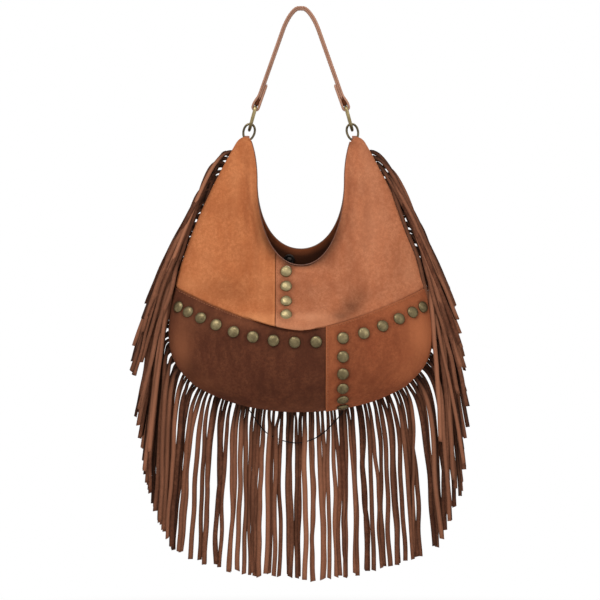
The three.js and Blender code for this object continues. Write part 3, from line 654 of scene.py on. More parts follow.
def lift(plane, facing, inset=0.0):
    """Puts plane points (x, z) on the pouch's front (-1) or back (1) surface."""
    x, z = plane[..., 0], plane[..., 1]
    y = facing * (SEAM_Y + surface_depth(x, z, inset) * (1 - SEAM_Y / BELLY_HALF))
    return np.stack([x, y, z], -1)


def lip(x):
    """Where the upper front puffs over the band's edge, 0 to 1."""
    return 1 / (1 + np.exp(-(x + 66) / 7)) * 1 / (1 + np.exp((x - 26) / 6))


def node_frame(name):
    """A node's middle and its thin axis."""
    co = np.array([v.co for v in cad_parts[name].data.vertices], float) / MM
    return (co.min(0) + co.max(0)) / 2, np.linalg.svd(co - co.mean(0), full_matrices=False)[2][2]


STUD_RADIUS, STUD_HEIGHT = 7.2, 3.7
STUDS = {n: node_frame(n) for n in sorted(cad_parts) if n.startswith("stud_")}
OUTLINE = joined(outline(LEFT, 0, FLOOR_DROP), outline(RIGHT, 0, FLOOR_DROP))


def stud_dents(points):
    """How near each point is to a stud: a pressed dish under it and a ring of painted shade round it."""
    dish, ring = np.zeros(points.shape[:2]), np.zeros(points.shape[:2])
    for middle, _ in STUDS.values():
        away = np.linalg.norm(points - middle, axis=2)
        dish += np.exp(-(away / 10) ** 4)
        ring += bell(away - 8.2, 2.0)
    return dish, ring


def finish_panel(name, base, off, runs, material, node, shade, pale):
    """Presses the studs into a panel, paints shade in a ring round each, and makes its skin."""
    dish, ring = stud_dents(base)
    normal = grid_normals(base, -1)
    mid = base + normal * (off - 0.7 * dish)[..., None]
    made = shell(name, mid, grid_normals(mid, -1), SUEDE_THICK, runs, 0.75, material,
                 shade + 0.34 * ring, pale)
    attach(made, "pouch")
    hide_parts(node)
    return made


# Paler and darker patches of the panels, as blobs. On the upper panels the lighter ones are partly tone and
# partly painted highlights on the lip and fold ridges, and the darker ones painted shade in dips and folds
UPPER_TONES_AND_HIGHLIGHTS = [
    (252, 190, 3, 36, 0.2), (263, 240, 3.5, 18, 0.3), (236, 215, 4, 50, 0.12), (258, 225, 7, 50, 0.1),
    (205, 255, 14, 40, 0.14), (189, 284, 12, 8, 0.3), (236, 175, 9, 22, 0.16), (372, 225, 14, 45, 0.22),
    (367, 165, 7, 18, 0.2), (310, 318, 26, 5, 0.6), (262, 318, 20, 4, 0.4), (265, 288, 9, 22, 0.2),
    (409, 272, 9, 14, 0.25),
]
UPPER_SHADES = [
    (247, 200, 3, 36, 0.16), (257, 245, 3, 20, 0.14), (220, 288, 26, 12, 0.16), (240, 290, 26, 22, 0.14),
    (300, 300, 40, 16, 0.14), (400, 265, 16, 30, 0.1), (372, 290, 20, 14, 0.08), (228, 238, 12, 40, 0.05),
    (350, 205, 4, 50, 0.16), (254, 215, 3, 40, 0.1), (352, 307, 10, 8, 0.62), (341, 316, 9, 5, 0.5),
    (361, 296, 8, 8, 0.34), (330, 262, 9, 8, 0.16), (312, 285, 26, 16, 0.08), (395, 262, 14, 24, 0.07),
    (350, 275, 14, 20, 0.06), (351, 143, 5, 4, 0.35),
]
LOWER_TONES = [
    (181, 350, 11, 26, 0.85), (205, 384, 22, 9, 0.3), (236, 322, 40, 7, 0.3), (190, 312, 14, 10, 0.35),
    (422, 335, 16, 26, 0.8), (408, 372, 18, 12, 0.3), (155, 305, 8, 8, 0.2), (333, 345, 6, 40, 0.25),
    (395, 305, 26, 9, 0.25), (300, 408, 60, 4, 0.2),
]
LOWER_SHADES = [
    (280, 372, 40, 26, 0.1), (225, 352, 24, 14, 0.05), (368, 385, 22, 18, 0.14), (352, 350, 10, 30, 0.08),
    (395, 392, 20, 8, 0.1),
]


LIP_STANDS, LIP_HANGS = 5.0, 4.4


def upper_panel(name, side, material, node):
    """A panel between the mouth and the band. The right one also passes under the foot of the mouth."""
    seam_x = UPPER_SEAM + 0.15 * side
    seam_foot = np.array([seam_x, band_top(seam_x) - TUCK])
    outer = outline(side, PEAK_TOP_DROP, BAND_SIDE_DROP + TUCK)
    bottom = band_line(outer[-1, 0], seam_x, TUCK)
    bottom[0] = outer[-1]
    if side == LEFT:
        mouth = mouth_from_peak(FRONT_DROP, LEFT)
        mouth = mouth[mouth[:, 0] < seam_x]
        inner = np.vstack([mouth, [[seam_x, mouth[-1, 1]], seam_foot]])
        us = stops(130, EDGE_STOPS, SEAM_STOPS, 2.6)
        vs = stops(length_of(inner), SEAM_STOPS, FOOT_STOPS, 2.6)
        plane = coons(peak_edge(side), bottom, outer, inner, us, vs)
    else:
        left = mouth_half(FRONT_DROP, LEFT)
        left = left[left[:, 0] > seam_x]
        mouth = joined(np.vstack([[[seam_x, left[0, 1]]], left]), mouth_from_peak(FRONT_DROP, RIGHT))
        top = joined(mouth, peak_edge(RIGHT))
        inner = np.array([mouth[0], seam_foot])
        us = stops(length_of(top), SEAM_STOPS, EDGE_STOPS, 2.4)
        vs = stops(length_of(inner), SEAM_STOPS, FOOT_STOPS, 2.6)
        plane = coons(top, bottom[::-1], inner, outer, us, vs)
    base = lift(plane, -1)
    x, z = base[..., 0], base[..., 2]
    above = z - band_top(x)
    by_seam = np.abs(x - UPPER_SEAM)
    off = front_off(x, z) - 0.35 * bell(by_seam, 1.5) * (above < 95)
    puff = lip(x)
    fall = 1 / (1 + np.exp(-(above - 0.6) / 0.7))
    rise = bell(above - 6, 11) * (above > 0) + (above <= 0) * bell(6, 11)
    off += puff * LIP_STANDS * rise * fall
    off -= (SUEDE_THICK + 0.35) / (1 + np.exp((above - 0.6) / 0.45))
    off -= 0.5 * bell(above, 3) * (1 - puff)
    shade = 0.2 * bell(by_seam, 0.9) * (above < 90)
    shade += 0.3 * bell(above, 1.6) * (1 - puff) + blobs(x, z, UPPER_SHADES)
    # Painted shade along the front's rolled mouth edge, wider toward the sides and fading out toward the
    # peaks.
    row, from_mouth = PHOTO_Y - z / PX, gap_to(x, z, MOUTH_FRONT)[0]
    wide = 2.4 + 6.2 * unit(np.abs(x) / 38)
    shade += 0.78 * bell(from_mouth, wide) * unit((row - 196) / 44)
    # A painted highlight along the lip that puffs over the band.
    pale = 0.42 * puff * bell(above - 3, 3.4) + blobs(x, z, UPPER_TONES_AND_HIGHLIGHTS)
    pale += 0.25 * bell(by_seam - 2.2, 1.0) * (above < 80)
    base[..., 2] -= puff * LIP_HANGS * bell(above - 2.6, 3.2) * fall
    return finish_panel(name, base, off, grid_runs(base), material, node, shade, pale)


def lower_panel(name, side, material, node):
    """A panel of the band, from its side seam to the seam between the two. The right one laps over."""
    seam_x = LOWER_SEAM + (0.1 if side == LEFT else -1.2)
    end = drop_where_half_width(seam_x)
    outer = outline(side, BAND_SIDE_DROP, CORNER_DROP)
    if side == LEFT:
        bottom = joined(outline(LEFT, CORNER_DROP, FLOOR_DROP), outline(RIGHT, end, FLOOR_DROP))
    else:
        bottom = outline(RIGHT, CORNER_DROP, end)
    foot = np.array([seam_x, PEAK_Z - end])
    bottom[-1] = foot
    top = band_line(outer[0, 0], seam_x)
    top[0] = outer[0]
    inner = np.stack([np.full(40, seam_x), np.linspace(top[-1, 1], foot[1], 40)], 1)
    us = stops(length_of(top), EDGE_STOPS, SEAM_STOPS, 2.6)
    vs = stops(length_of(outer), SEAM_STOPS, EDGE_STOPS, 2.4)
    base = lift(coons(top, bottom, outer, inner, us, vs), -1)
    x, z = base[..., 0], base[..., 2]
    runs = grid_runs(base)
    calm = 1 - bell(np.minimum.reduce([runs[0], runs[3], runs[2]]), 16)
    off = (waves(x, z, 11, 80, 0.9) + waves(x, z, 5, 34, 0.4)) * calm
    if side == RIGHT:
        off += 0.9 * bell(runs[1], 9) - 0.3 * bell(runs[1] - 2.2, 0.7)
    else:
        off -= 0.5 * bell(runs[1], 3)
    off -= 0.35 * bell(runs[2] - 1.9, 0.7)
    off += 1.2 * bell(runs[3] - 12, 8)
    # Painted shadow just under the lip that puffs over the band.
    shade = 0.3 * lip(x) * bell(runs[2], 4) + blobs(x, z, LOWER_SHADES)
    # A painted highlight along the band's folded top edge, where no lip hangs over it.
    pale = 0.6 * bell(runs[2], 0.9) * (1 - lip(x)) + blobs(x, z, LOWER_TONES)
    # The right panel's folded edge over the seam gets a painted highlight, and the left panel painted shade
    # under it.
    if side == RIGHT:
        pale = pale + 0.6 * bell(runs[1], 1.3)
    else:
        shade = shade + 0.5 * bell(runs[1], 2.0)
    return finish_panel(name, base, off, runs, material, node, shade, pale)


SIDE_WIDTH, SIDE_HEIGHT, SIDE_STEP = 420, 270, 3.4
SIDE_MIDDLE, SIDE_REACH = np.array([0, PEAK_Z - 200]), 110


def whole_side(name, facing, drop, inset, thickness, material, margin=0.0, top_drop=PEAK_TOP_DROP):
    """A skin over one whole side of the pouch, with the U of the mouth cut out of its top."""
    if margin:
        cut = PEAK_Z - top_drop
        mouths = [mouth_half(drop, side, margin) for side in (LEFT, RIGHT)]
        mouths = [line[line[:, 1] < cut] for line in mouths]
        peaks = [np.array([[side * (float(half_width(top_drop)) - inset), cut]]) for side in (LEFT, RIGHT)]
    else:
        mouths = [mouth_from_peak(drop, side) for side in (LEFT, RIGHT)]
        peaks = [peak_edge(side)[:-1] for side in (LEFT, RIGHT)]
    top = np.vstack([peaks[0], joined(*mouths), peaks[1][::-1]])
    left, right = outline(LEFT, top_drop, CORNER_DROP), outline(RIGHT, top_drop, CORNER_DROP)
    bottom = joined(outline(LEFT, CORNER_DROP, FLOOR_DROP), outline(RIGHT, CORNER_DROP, FLOOR_DROP))
    if inset:
        shrink = 1 - inset / SIDE_REACH
        top, left, right, bottom = ((line - SIDE_MIDDLE) * shrink + SIDE_MIDDLE
                                    for line in (top, left, right, bottom))
    us = stops(SIDE_WIDTH, EDGE_STOPS, EDGE_STOPS, SIDE_STEP)
    vs = stops(SIDE_HEIGHT, SEAM_STOPS, EDGE_STOPS, SIDE_STEP)
    base = lift(coons(top, bottom, left, right, us, vs), facing, inset)
    x, z = base[..., 0], base[..., 2]
    runs = grid_runs(base)
    mid = base + grid_normals(base, facing) * skin_off(x, z, facing)[..., None]
    pale = 0.25 * bell(np.minimum.reduce(runs), 1.2) + blobs(x, z, BACK_TONES)
    made = shell(name, mid, grid_normals(mid, facing), thickness, runs, thickness / 2, material,
                 blobs(x, z, BACK_SHADES), pale)
    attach(made, "pouch")
    return made


BACK_TONES = [(200, 300, 30, 60, 0.25), (400, 290, 24, 60, 0.25), (300, 390, 90, 14, 0.2),
              (255, 190, 10, 40, 0.2)]
BACK_SHADES = [(300, 320, 70, 30, 0.08), (240, 340, 20, 40, 0.06), (360, 350, 26, 30, 0.07)]
BACK_FOLDS = [
    ([(252, 165), (258, 215), (275, 262), (300, 300)], 9, 1.8),
    ([(349, 165), (343, 215), (326, 262), (312, 290)], 9, 1.8),
    ([(243, 200), (247, 245), (262, 290)], 8, -1.5),
    ([(358, 200), (355, 245), (340, 290)], 8, -1.5),
    ([(215, 240), (220, 290), (245, 340)], 14, 1.6),
    ([(388, 240), (384, 290), (362, 345)], 14, 1.6),
]


def back_off(x, z):
    """How far the back's skin stands off its plain form."""
    folds = waves(x, z, 21, 90, 1.3) + waves(x, z, 22, 40, 0.4)
    for points, width, height in BACK_FOLDS:
        folds += ridge(x, z, points, width, height)
    to_edge = np.minimum(gap_to(x, z, OUTLINE)[0], 3 * gap_to(x, z, MOUTH_BACK)[0] + 4)
    return folds * (1 - bell(to_edge, 14))


def skin_off(x, z, facing):
    """How far the skin stands off its plain form on the side it faces."""
    return front_off(x, z) if facing < 0 else back_off(x, z)


panels = []
for word, side, tone, make_panel in (
        ("upper_left", LEFT, "tan", upper_panel), ("upper_right", RIGHT, "rose", upper_panel),
        ("lower_left", LEFT, "brown", lower_panel), ("lower_right", RIGHT, "russet", lower_panel)):
    panels.append(make_panel(f"{word}_suede", side, SUEDE[tone], f"front_{word}_panel"))
back = whole_side("back_suede", 1, BACK_DROP, 0.0, SUEDE_THICK, SUEDE["back"])
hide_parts("back_panel")

# ---------- facings, lining and the mouth's edges ----------
FACING_WIDTH = 22.0


def facing_strip(name, facing, drop, node):
    """The leather facing just inside one edge of the mouth."""
    edge = mouth_line(drop)
    edge = edge[edge[:, 1] < PEAK_Z - MOUTH_TOP_DROP]
    low = mouth_line(drop, FACING_WIDTH)
    low = low[low[:, 1] < PEAK_Z - 12]
    widest = half_width(PEAK_Z - low[:, 1]) - 6
    low[:, 0] = np.clip(low[:, 0], -widest, widest)
    us = stops(length_of(edge), SEAM_STOPS, SEAM_STOPS, 3.0)
    vs = stops(FACING_WIDTH, [0, 0.12, 0.3, 0.6, 1.0, 1.6, 2.5, 4], [0, 0.12, 0.3, 0.6, 1.2, 2.5], 2.2)
    a, b = resample(edge, us), resample(low, us)
    base = lift(a[None] + (b - a)[None] * vs[:, None, None], facing)
    x, z = base[..., 0], base[..., 2]
    normal, runs = grid_normals(base, facing), grid_runs(base)
    mid = base + normal * (skin_off(x, z, facing) - 1.75)[..., None]
    # Painted shade: the facing darkens deeper in the mouth and further from its edge, where light does not
    # reach.
    deep = unit((PEAK_Z - 50 - z) / 74) * (0.42 + 0.58 * unit((runs[2] - 1.0) / 8.0))
    shade = 0.25 * bell(runs[2] - 3.2, 0.6) + deep
    made = shell(name, mid, grid_normals(mid, facing), 1.1, runs, 0.5, FACING_LEATHER, shade, 0 * x)
    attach(made, "pouch")
    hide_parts(node)


facing_strip("front_facing_leather", -1, FRONT_DROP, "mouth_facing_front")
facing_strip("back_facing_leather", 1, BACK_DROP, "mouth_facing_back")
linings = [whole_side(f"lining_{word}_cloth", facing, drop, 4.2, 0.7, LINING_CLOTH, 17.0, 24.0)
           for word, facing, drop in (("front", -1, FRONT_DROP), ("back", 1, BACK_DROP))]
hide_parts("lining")


def tube(path, widths, heights, up, sections=10, power=2.0, closed=False):
    """Points of a tube with a rounded section. up is each section's second direction."""
    path = np.asarray(path, float)
    if closed:
        way = np.roll(path, -1, 0) - np.roll(path, 1, 0)
        way /= np.linalg.norm(way, axis=1, keepdims=True)
    else:
        way = headings(path)
    side = np.cross(way, np.broadcast_to(up, path.shape))
    side /= np.linalg.norm(side, axis=1, keepdims=True)
    up = np.cross(side, way)
    a, b = superellipse(sections, power, math.pi / sections)
    w = np.broadcast_to(widths, len(path))[:, None, None] / 2
    h = np.broadcast_to(heights, len(path))[:, None, None] / 2
    return path[:, None] + side[:, None] * a[None, :, None] * w + up[:, None] * b[None, :, None] * h


def tube_mesh(rings, closed=False):
    """The points and faces of a tube, with flat ends unless it closes on itself."""
    rows, cols = rings.shape[:2]
    faces = grid_faces(rows, cols, wrap_rows=closed, wrap_cols=True)
    if not closed:
        faces += [tuple(range(cols)), tuple(range((rows - 1) * cols, rows * cols))]
    return rings.reshape(-1, 3), faces


class Pile:
    """Collects many small bodies into one mesh."""

    def __init__(self):
        self.verts, self.faces, self.attrs, self.count = [], [], {}, 0

    def add(self, verts, faces, **attrs):
        """attrs gives shade, pale and tone, each one number or one for each point."""
        self.verts.append(verts)
        self.faces += [tuple(i + self.count for i in f) for f in faces]
        for key, value in attrs.items():
            self.attrs.setdefault(key, []).append(np.broadcast_to(value, len(verts)))
        self.count += len(verts)

    def make(self, name, material, body, slot):
        """One piece out of all that was added, riding with its body."""
        attrs = {k: np.concatenate(v) for k, v in self.attrs.items()}
        made = make_mesh(name, np.vstack(self.verts), self.faces, material, attrs)
        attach(made, body)
        return made


def tree_of(*objects):
    """A search tree over the meshes, in mm."""
    verts, faces = [], []
    for o in objects:
        n = len(verts)
        verts += [Vector(v.co) / MM for v in o.data.vertices]
        faces += [[n + i for i in p.vertices] for p in o.data.polygons]
    return BVHTree.FromPolygons(verts, faces)


FRONT_SKIN = tree_of(*panels)
BACK_SKIN = tree_of(back)


def on_skin(tree, x, z, facing):
    """The point and outward direction of a skin at x and z, seen from outside."""
    hit = tree.ray_cast(Vector((x, facing * 150, z)), Vector((0, -facing, 0)))
    if hit[0] is None:
        return None, None
    n = hit[1] if hit[1].y * facing > 0 else -hit[1]
    return np.array(hit[0]), np.array(n)


def edge_cap(name, facing, drop, material, slot, shade=0.0):
    """The rounded edge that closes the leather and its facing along the mouth."""
    line = mouth_line(drop)
    line = resample(line[line[:, 1] < PEAK_Z - 5.5], np.linspace(0, 1, 260))
    path = lift(line, facing)
    path[:, 1] += facing * (skin_off(line[:, 0], line[:, 1], facing) - 1.35)
    pile = Pile()
    pile.add(*tube_mesh(tube(path, 1.5, 3.1, ACROSS * facing, 12, 2.4)), shade=shade, pale=0.0)
    return pile.make(name, material, "pouch", slot)


edge_cap("mouth_edge_back", 1, BACK_DROP, EDGE_PAINT, "facing_leather")
# The front edge gets painted shade where it rolls in toward the mouth's dark inside.
edge_cap("mouth_edge_front", -1, FRONT_DROP, TAB_LEATHER, "facing_leather", 0.4)

# ---------- stitching ----------
STITCH_PITCH, STITCH_LENGTH, STITCH_RADIUS = 3.3, 2.5, 0.33
# Along a stitch: the share of its length, how far it stands off the skin, and how thick it is in radii
STITCH_FORM = ((0, -0.37, 0.8), (0.15, 0.08, 2), (0.5, 0.24, 2.1), (0.85, 0.08, 2), (1, -0.37, 0.8))


def stitch_run(pile, line, tree, facing, skip=lambda x: False):
    """Stitches along a line in x and z, laid on a skin."""
    count = int(length_of(line) / STITCH_PITCH)
    ts, reach = (np.arange(count) + 0.5) / count, 0.5 * STITCH_LENGTH / length_of(line)
    sizes = np.array([thick for _, _, thick in STITCH_FORM]) * STITCH_RADIUS
    for place, head, tail in zip(*(resample(line, at) for at in (ts, ts - reach, ts + reach))):
        if skip(place[0]):
            continue
        points = []
        for share, stand, _ in STITCH_FORM:
            point, normal = on_skin(tree, *(head + (tail - head) * share), facing)
            if point is None:
                break
            points.append(point + normal * stand)
        if len(points) == len(STITCH_FORM):
            pile.add(*tube_mesh(tube(points, sizes, sizes, normal, 6)))


front_stitches = Pile()
band_end = float(half_width(BAND_SIDE_DROP)) - 4
stitch_run(front_stitches, band_line(-band_end, LOWER_SEAM - 3, 2.0, 200), FRONT_SKIN, -1,
           skip=lambda x: lip(x) > 0.35)
stitch_run(front_stitches, band_line(LOWER_SEAM + 1, band_end, 2.0, 200), FRONT_SKIN, -1)
for seam_x, top_z, foot_z in (
        (LOWER_SEAM + 1.2, band_top(LOWER_SEAM) - 3, PEAK_Z - drop_where_half_width(LOWER_SEAM) + 3),
        (UPPER_SEAM + 2.2, PEAK_Z - FRONT_DROP + 6, band_top(UPPER_SEAM) + 9)):
    stitch_run(front_stitches, np.array([[seam_x, top_z], [seam_x, foot_z]]), FRONT_SKIN, -1)
front_stitches.make("front_stitching", THREAD, "pouch", "suede_tan")
back_stitches = Pile()
back_seam = resample(mouth_line(BACK_DROP, 3.4)[6:-6], np.linspace(0, 1, 200))
stitch_run(back_stitches, back_seam, BACK_SKIN, 1)
back_stitches.make("back_stitching", THREAD, "pouch", "suede_back")

# ---------- studs and snap ----------


def lathe(profile, segments, place, axis, wobble=0.0, seed=0):
    """A turned body from its profile of radii and heights, a little out of round if wobble says so."""
    rng = random.Random(seed)
    up = np.array([0, 0, 1.0]) if abs(axis[2]) < 0.9 else np.array([1.0, 0, 0])
    a = np.cross(up, axis)
    a /= np.linalg.norm(a)
    b = np.cross(axis, a)
    turns = np.arange(segments) / segments * 2 * math.pi
    dent = np.array([1 + wobble * rng.uniform(-1, 1) for _ in range(segments)])
    dent = (dent + np.roll(dent, 1) + np.roll(dent, -1)) / 3
    rings = np.array([[place + axis * h + (a * math.cos(t) + b * math.sin(t)) * r * d
                       for t, d in zip(turns, dent)] for r, h in profile])
    return tube_mesh(rings)


def stud_profile():
    """A shallow dome over a turned-in rim, from the leather to the crown."""
    rim_top, crown_radius = 0.9, STUD_RADIUS - 0.25
    rim = [(STUD_RADIUS - 1.2, -0.6), (STUD_RADIUS - 0.3, -0.3), (STUD_RADIUS, 0.35),
           (STUD_RADIUS - 0.15, rim_top)]
    turns = [i / 10.5 * math.pi / 2 for i in range(1, 11)]
    return rim + [(crown_radius * math.cos(turn) ** 0.8,
                   rim_top + (STUD_HEIGHT - rim_top) * math.sin(turn) ** 1.25) for turn in turns]


STUD_PROFILE = stud_profile()
for index, (name, (middle, axis)) in enumerate(STUDS.items()):
    if axis[1] > 0:
        axis = -axis
    hit = FRONT_SKIN.ray_cast(Vector(middle + axis * 30), Vector(-axis))
    place = middle - axis * 2
    if hit[0] is not None and np.linalg.norm(np.array(hit[0]) - middle) <= 7:
        place = np.array(hit[0])
    verts, faces = lathe(STUD_PROFILE, 36, place - axis * 0.1, axis, 0.012, index)
    heights = np.repeat([h for _, h in STUD_PROFILE], 36)
    pile, age = Pile(), random.Random(500 + index)
    # The upper column's studs face up and get a painted highlight; the others get a dull patina and some
    # wear that differ at random.
    dull, wear_and_highlight = 0.0, 0.42
    if not name.startswith("stud_upper"):
        dull, wear_and_highlight = age.uniform(0, 0.3), age.uniform(0, 0.14)
    # Painted shade darkens each stud low down by the leather, and a painted highlight runs round the dome
    # just above its rim.
    pile.add(verts, faces, shade=np.clip(0.75 - heights / 1.6, dull, 0.7),
             pale=wear_and_highlight + np.clip(0.3 - np.abs(heights - 1.7) / 2, 0, 0.3))
    stud = pile.make(name + "_dome", STUD_BRASS, "pouch", "stud_brass")
    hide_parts(name)

SNAP_RIM = [(6.2, -1.6), (6.8, -1.4), (6.8, 0.2), (6.5, 0.8), (5.8, 1.1), (4.9, 1.0), (4.6, 0.7),
            (3.6, 0.7)]
for word, inward, heart in (("back", -1, [(3.1, 0.8), (3.0, 2.0), (2.6, 2.4), (0.6, 2.5)]),
                            ("front", 1, [(3.3, 0.5), (3.2, -0.4), (0.6, -0.5)])):
    middle, axis = node_frame(f"magnetic_snap_{word}")
    axis = axis if axis[1] * inward > 0 else -axis
    pile = Pile()
    pile.add(*lathe(SNAP_RIM + heart, 40, middle, axis), shade=0.1, pale=0.0)
    snap = pile.make(f"snap_{word}_disc", SNAP_METAL, "pouch", "ring_metal")
    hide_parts(f"magnetic_snap_{word}")

# ---------- strap, links, rings and tabs ----------
STRAP_WIDTH, STRAP_THICK, END_PLY, OUTER_PLY, INNER_PLY = 18.0, 4.6, 2.8, 2.65, 2.6
LEAN, LINK_LEAN, RING_LEAN = math.radians(19.5), math.radians(15.5), math.radians(14)
TOP_FLAT, BEND_REACH, BEND_DROP = 2.5, 18.8, 25.9
LEG_TOP = np.array([TOP_FLAT + BEND_REACH, STRAP_THICK / 2 - BEND_DROP])
LEG_LENGTH, LINK_REACH, LINK_DROP = 98.3, 21.05, 20.8
RING_PITCH, RING_WIDTH, RING_WIRE = 20.2, 16.1, 2.8
FOLD_BORE, SPLIT = 2.35, 15.0


def hung(lean, length):
    """A step down and outwards along a part that leans."""
    return length * np.array([math.sin(lean), -math.cos(lean)])


LINK_BAR = LEG_TOP + hung(LEAN, LEG_LENGTH)
RING_TOP = LINK_BAR + hung(LINK_LEAN, LINK_REACH)
RING_FOOT = RING_TOP + hung(RING_LEAN, RING_PITCH)


def end_point(up, out):
    """A place near the right link's bar: up the strap's leg, and out from its middle."""
    return np.array([LINK_BAR[0] - math.sin(LEAN) * up + math.cos(LEAN) * out,
                     LINK_BAR[1] + math.cos(LEAN) * up + math.sin(LEAN) * out])


def leg_half(offset, until_up):
    """The strap's line on the right, from the top bend down to a height above the link's bar."""
    half = STRAP_THICK / 2
    slope = LEG_TOP - 0.56 * hung(LEAN, BEND_DROP)
    bend = bezier((TOP_FLAT, half), (TOP_FLAT + 0.3 * BEND_REACH, half), slope, LEG_TOP, 40)
    top = offset_line(bend, offset)
    leg = np.array([end_point(u, offset) for u in np.linspace(LEG_LENGTH - 3, until_up, 26)])
    return np.vstack([[[0.0, top[0, 1]]], top, leg])


def opened(start, end, ups):
    """How far a ply stands out as it opens from start to end round the link's bar."""
    return start + (end - start) * smoothstep(unit((SPLIT + 1 - ups) / (SPLIT - 2)))


def outer_ply():
    """The outer ply: over the top, out round the link's bar, and up the inner side as the tail."""
    thick, radius = STRAP_THICK / 2, FOLD_BORE + END_PLY / 2
    leg = leg_half(thick / 2, SPLIT + 1)
    ups = np.linspace(SPLIT, 0, 16)
    bulge = [end_point(u, out) for u, out in zip(ups, opened(thick / 2, radius, ups))]
    arc = [end_point(-radius * math.sin(t), radius * math.cos(t)) for t in np.linspace(0, math.pi, 22)[1:]]
    out_at = -(thick + END_PLY / 2)
    tail = [end_point(u, -radius + (out_at + radius) * smoothstep(min(1, u / 12)))
            for u in np.linspace(1, 30, 20)]
    return mirrored(np.vstack([leg, bulge, arc, tail]))


def ribbon(name, line, thicknesses, width, shade=0.0):
    """A flat strap along a line in the XZ plane, its edges rounded and sealed."""
    path = np.stack([line[:, 0], np.zeros(len(line)), line[:, 1]], 1)
    verts, faces = tube_mesh(tube(path, thicknesses, width, ACROSS, 20, 6.0))
    on_edge = unit((np.abs(verts[:, 1]) - width / 2 + 1.2) / 1.2)
    pile = Pile()
    # The left leg gets painted shade; the edges are a little darker all along.
    pile.add(verts, faces, shade=shade + 0.14 * (verts[:, 0] < 0) + 0.06 * on_edge, pale=0.0)
    return pile.make(name, STRAP_LEATHER, "strap", "strap_leather")


def with_ends(line, count):
    """A line with evenly spaced points, and each point's distance to the nearer end."""
    shares = np.linspace(0, 1, count)
    line = resample(line, shares)
    return line, np.minimum(shares, np.linspace(1, 0, count)) * length_of(line)


STITCHES_FROM_END, TAIL_FADE, INNER_WIDTH = 62, 12, STRAP_WIDTH - 0.5
outer_line, from_end = with_ends(outer_ply(), 420)
inner_line, ply_end = with_ends(mirrored(leg_half(-STRAP_THICK / 4, 10)), 260)
outer_thick = OUTER_PLY + (END_PLY - OUTER_PLY) * unit((STITCHES_FROM_END - from_end) / TAIL_FADE)
outer_thick *= unit(0.35 + from_end / 3)
strap = ribbon("strap_outer_ply", outer_line, outer_thick, STRAP_WIDTH)
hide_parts("strap")
ribbon("strap_inner_ply", inner_line, INNER_PLY * unit(0.3 + ply_end / 6), INNER_WIDTH, 0.16)

filler = Pile()
for side in (LEFT, RIGHT):
    ups = np.linspace(SPLIT + 1, FOLD_BORE - 0.1, 14)
    near = opened(STRAP_THICK / 4 - 1.1, FOLD_BORE, ups)
    path = np.array([end_point(u, (o - STRAP_THICK / 2) / 2) for u, o in zip(ups, near)])
    path = np.stack([side * path[:, 0], 0 * ups, path[:, 1]], 1)
    wedge = tube(path, near + STRAP_THICK / 2 + 0.3, 15.5, ACROSS, 16, 6.0)
    # The filler gets painted shade, as it sits recessed between the plies.
    filler.add(*tube_mesh(wedge), shade=0.8, pale=0.0)
filler.make("strap_fold_filler", FACING_LEATHER, "strap", "strap_leather")

STRAP_STITCH_PITCH, STRAP_ROW = 3.6, 6.9
# Along a strap stitch: the place in mm, how far it stands off, and how thick it is
STRAP_STITCH_FORM = np.array([(-1.35, -0.4, 0.35), (-1.0, -0.12, 0.52), (0, -0.02, 0.58),
                              (1.0, -0.12, 0.52), (1.35, -0.4, 0.35)])
strap_stitches = Pile()


def strap_stitch_rows(line, offset, end):
    """Stitches on one face of the strap, in two rows along its edges, up to a distance from both ends."""
    face = offset_line(line, offset)
    run = length_of(face)
    along, stand, sizes = STRAP_STITCH_FORM.T
    for i in range(int((length_of(line) - 2 * end) / STRAP_STITCH_PITCH)):
        at = end + STRAP_STITCH_PITCH * (i + 0.5)
        near = resample(face, [(at - 1) / run, (at + 1) / run])
        way = (near[1] - near[0]) / np.linalg.norm(near[1] - near[0])
        out = np.array([-way[1], way[0]]) * np.sign(offset)
        points = resample(face, (at + along) / run) + out[None] * stand[:, None]
        for y in (-STRAP_ROW, STRAP_ROW):
            path = np.stack([points[:, 0], np.full(len(points), y), points[:, 1]], 1)
            strap_stitches.add(*tube_mesh(tube(path, sizes, sizes, ACROSS, 6)))


strap_stitch_rows(outer_line, 1.2, STITCHES_FROM_END)
strap_stitch_rows(inner_line, -1.18, 20)
strap_stitches.make("strap_stitching", STRAP_THREAD, "strap", "strap_leather")


def link_outline(half_span, top_up, foot_up, corner):
    """One closed outline of the link in across and up, starting at the middle of the bar."""
    side_up = -0.42 * LINK_DROP
    pull = side_up + 0.6 * (foot_up - side_up)
    right = np.vstack([
        np.linspace((0, top_up), (half_span - corner, top_up), 8),
        bezier((half_span - corner, top_up), (half_span - corner * 0.35, top_up),
               (half_span, top_up - corner * 0.35), (half_span, top_up - corner), 10)[1:],
        np.linspace((half_span, top_up - corner), (half_span, side_up), 6)[1:],
        bezier((half_span, side_up), (half_span, pull), (half_span * 0.5, foot_up), (0, foot_up), 24)[1:],
    ])
    return np.vstack([right, (right * [-1, 1])[::-1][1:]])


def loop_grid(inner, outer, sections, power, start=0.0):
    """A thick band between two outlines: its points in their plane, and how far across it each is."""
    p, q = superellipse(sections, power, start)
    flat = (outer + inner)[:, None] / 2 + (outer - inner)[:, None] / 2 * p[None, :, None]
    return flat, np.broadcast_to(q[None], flat.shape[:2])


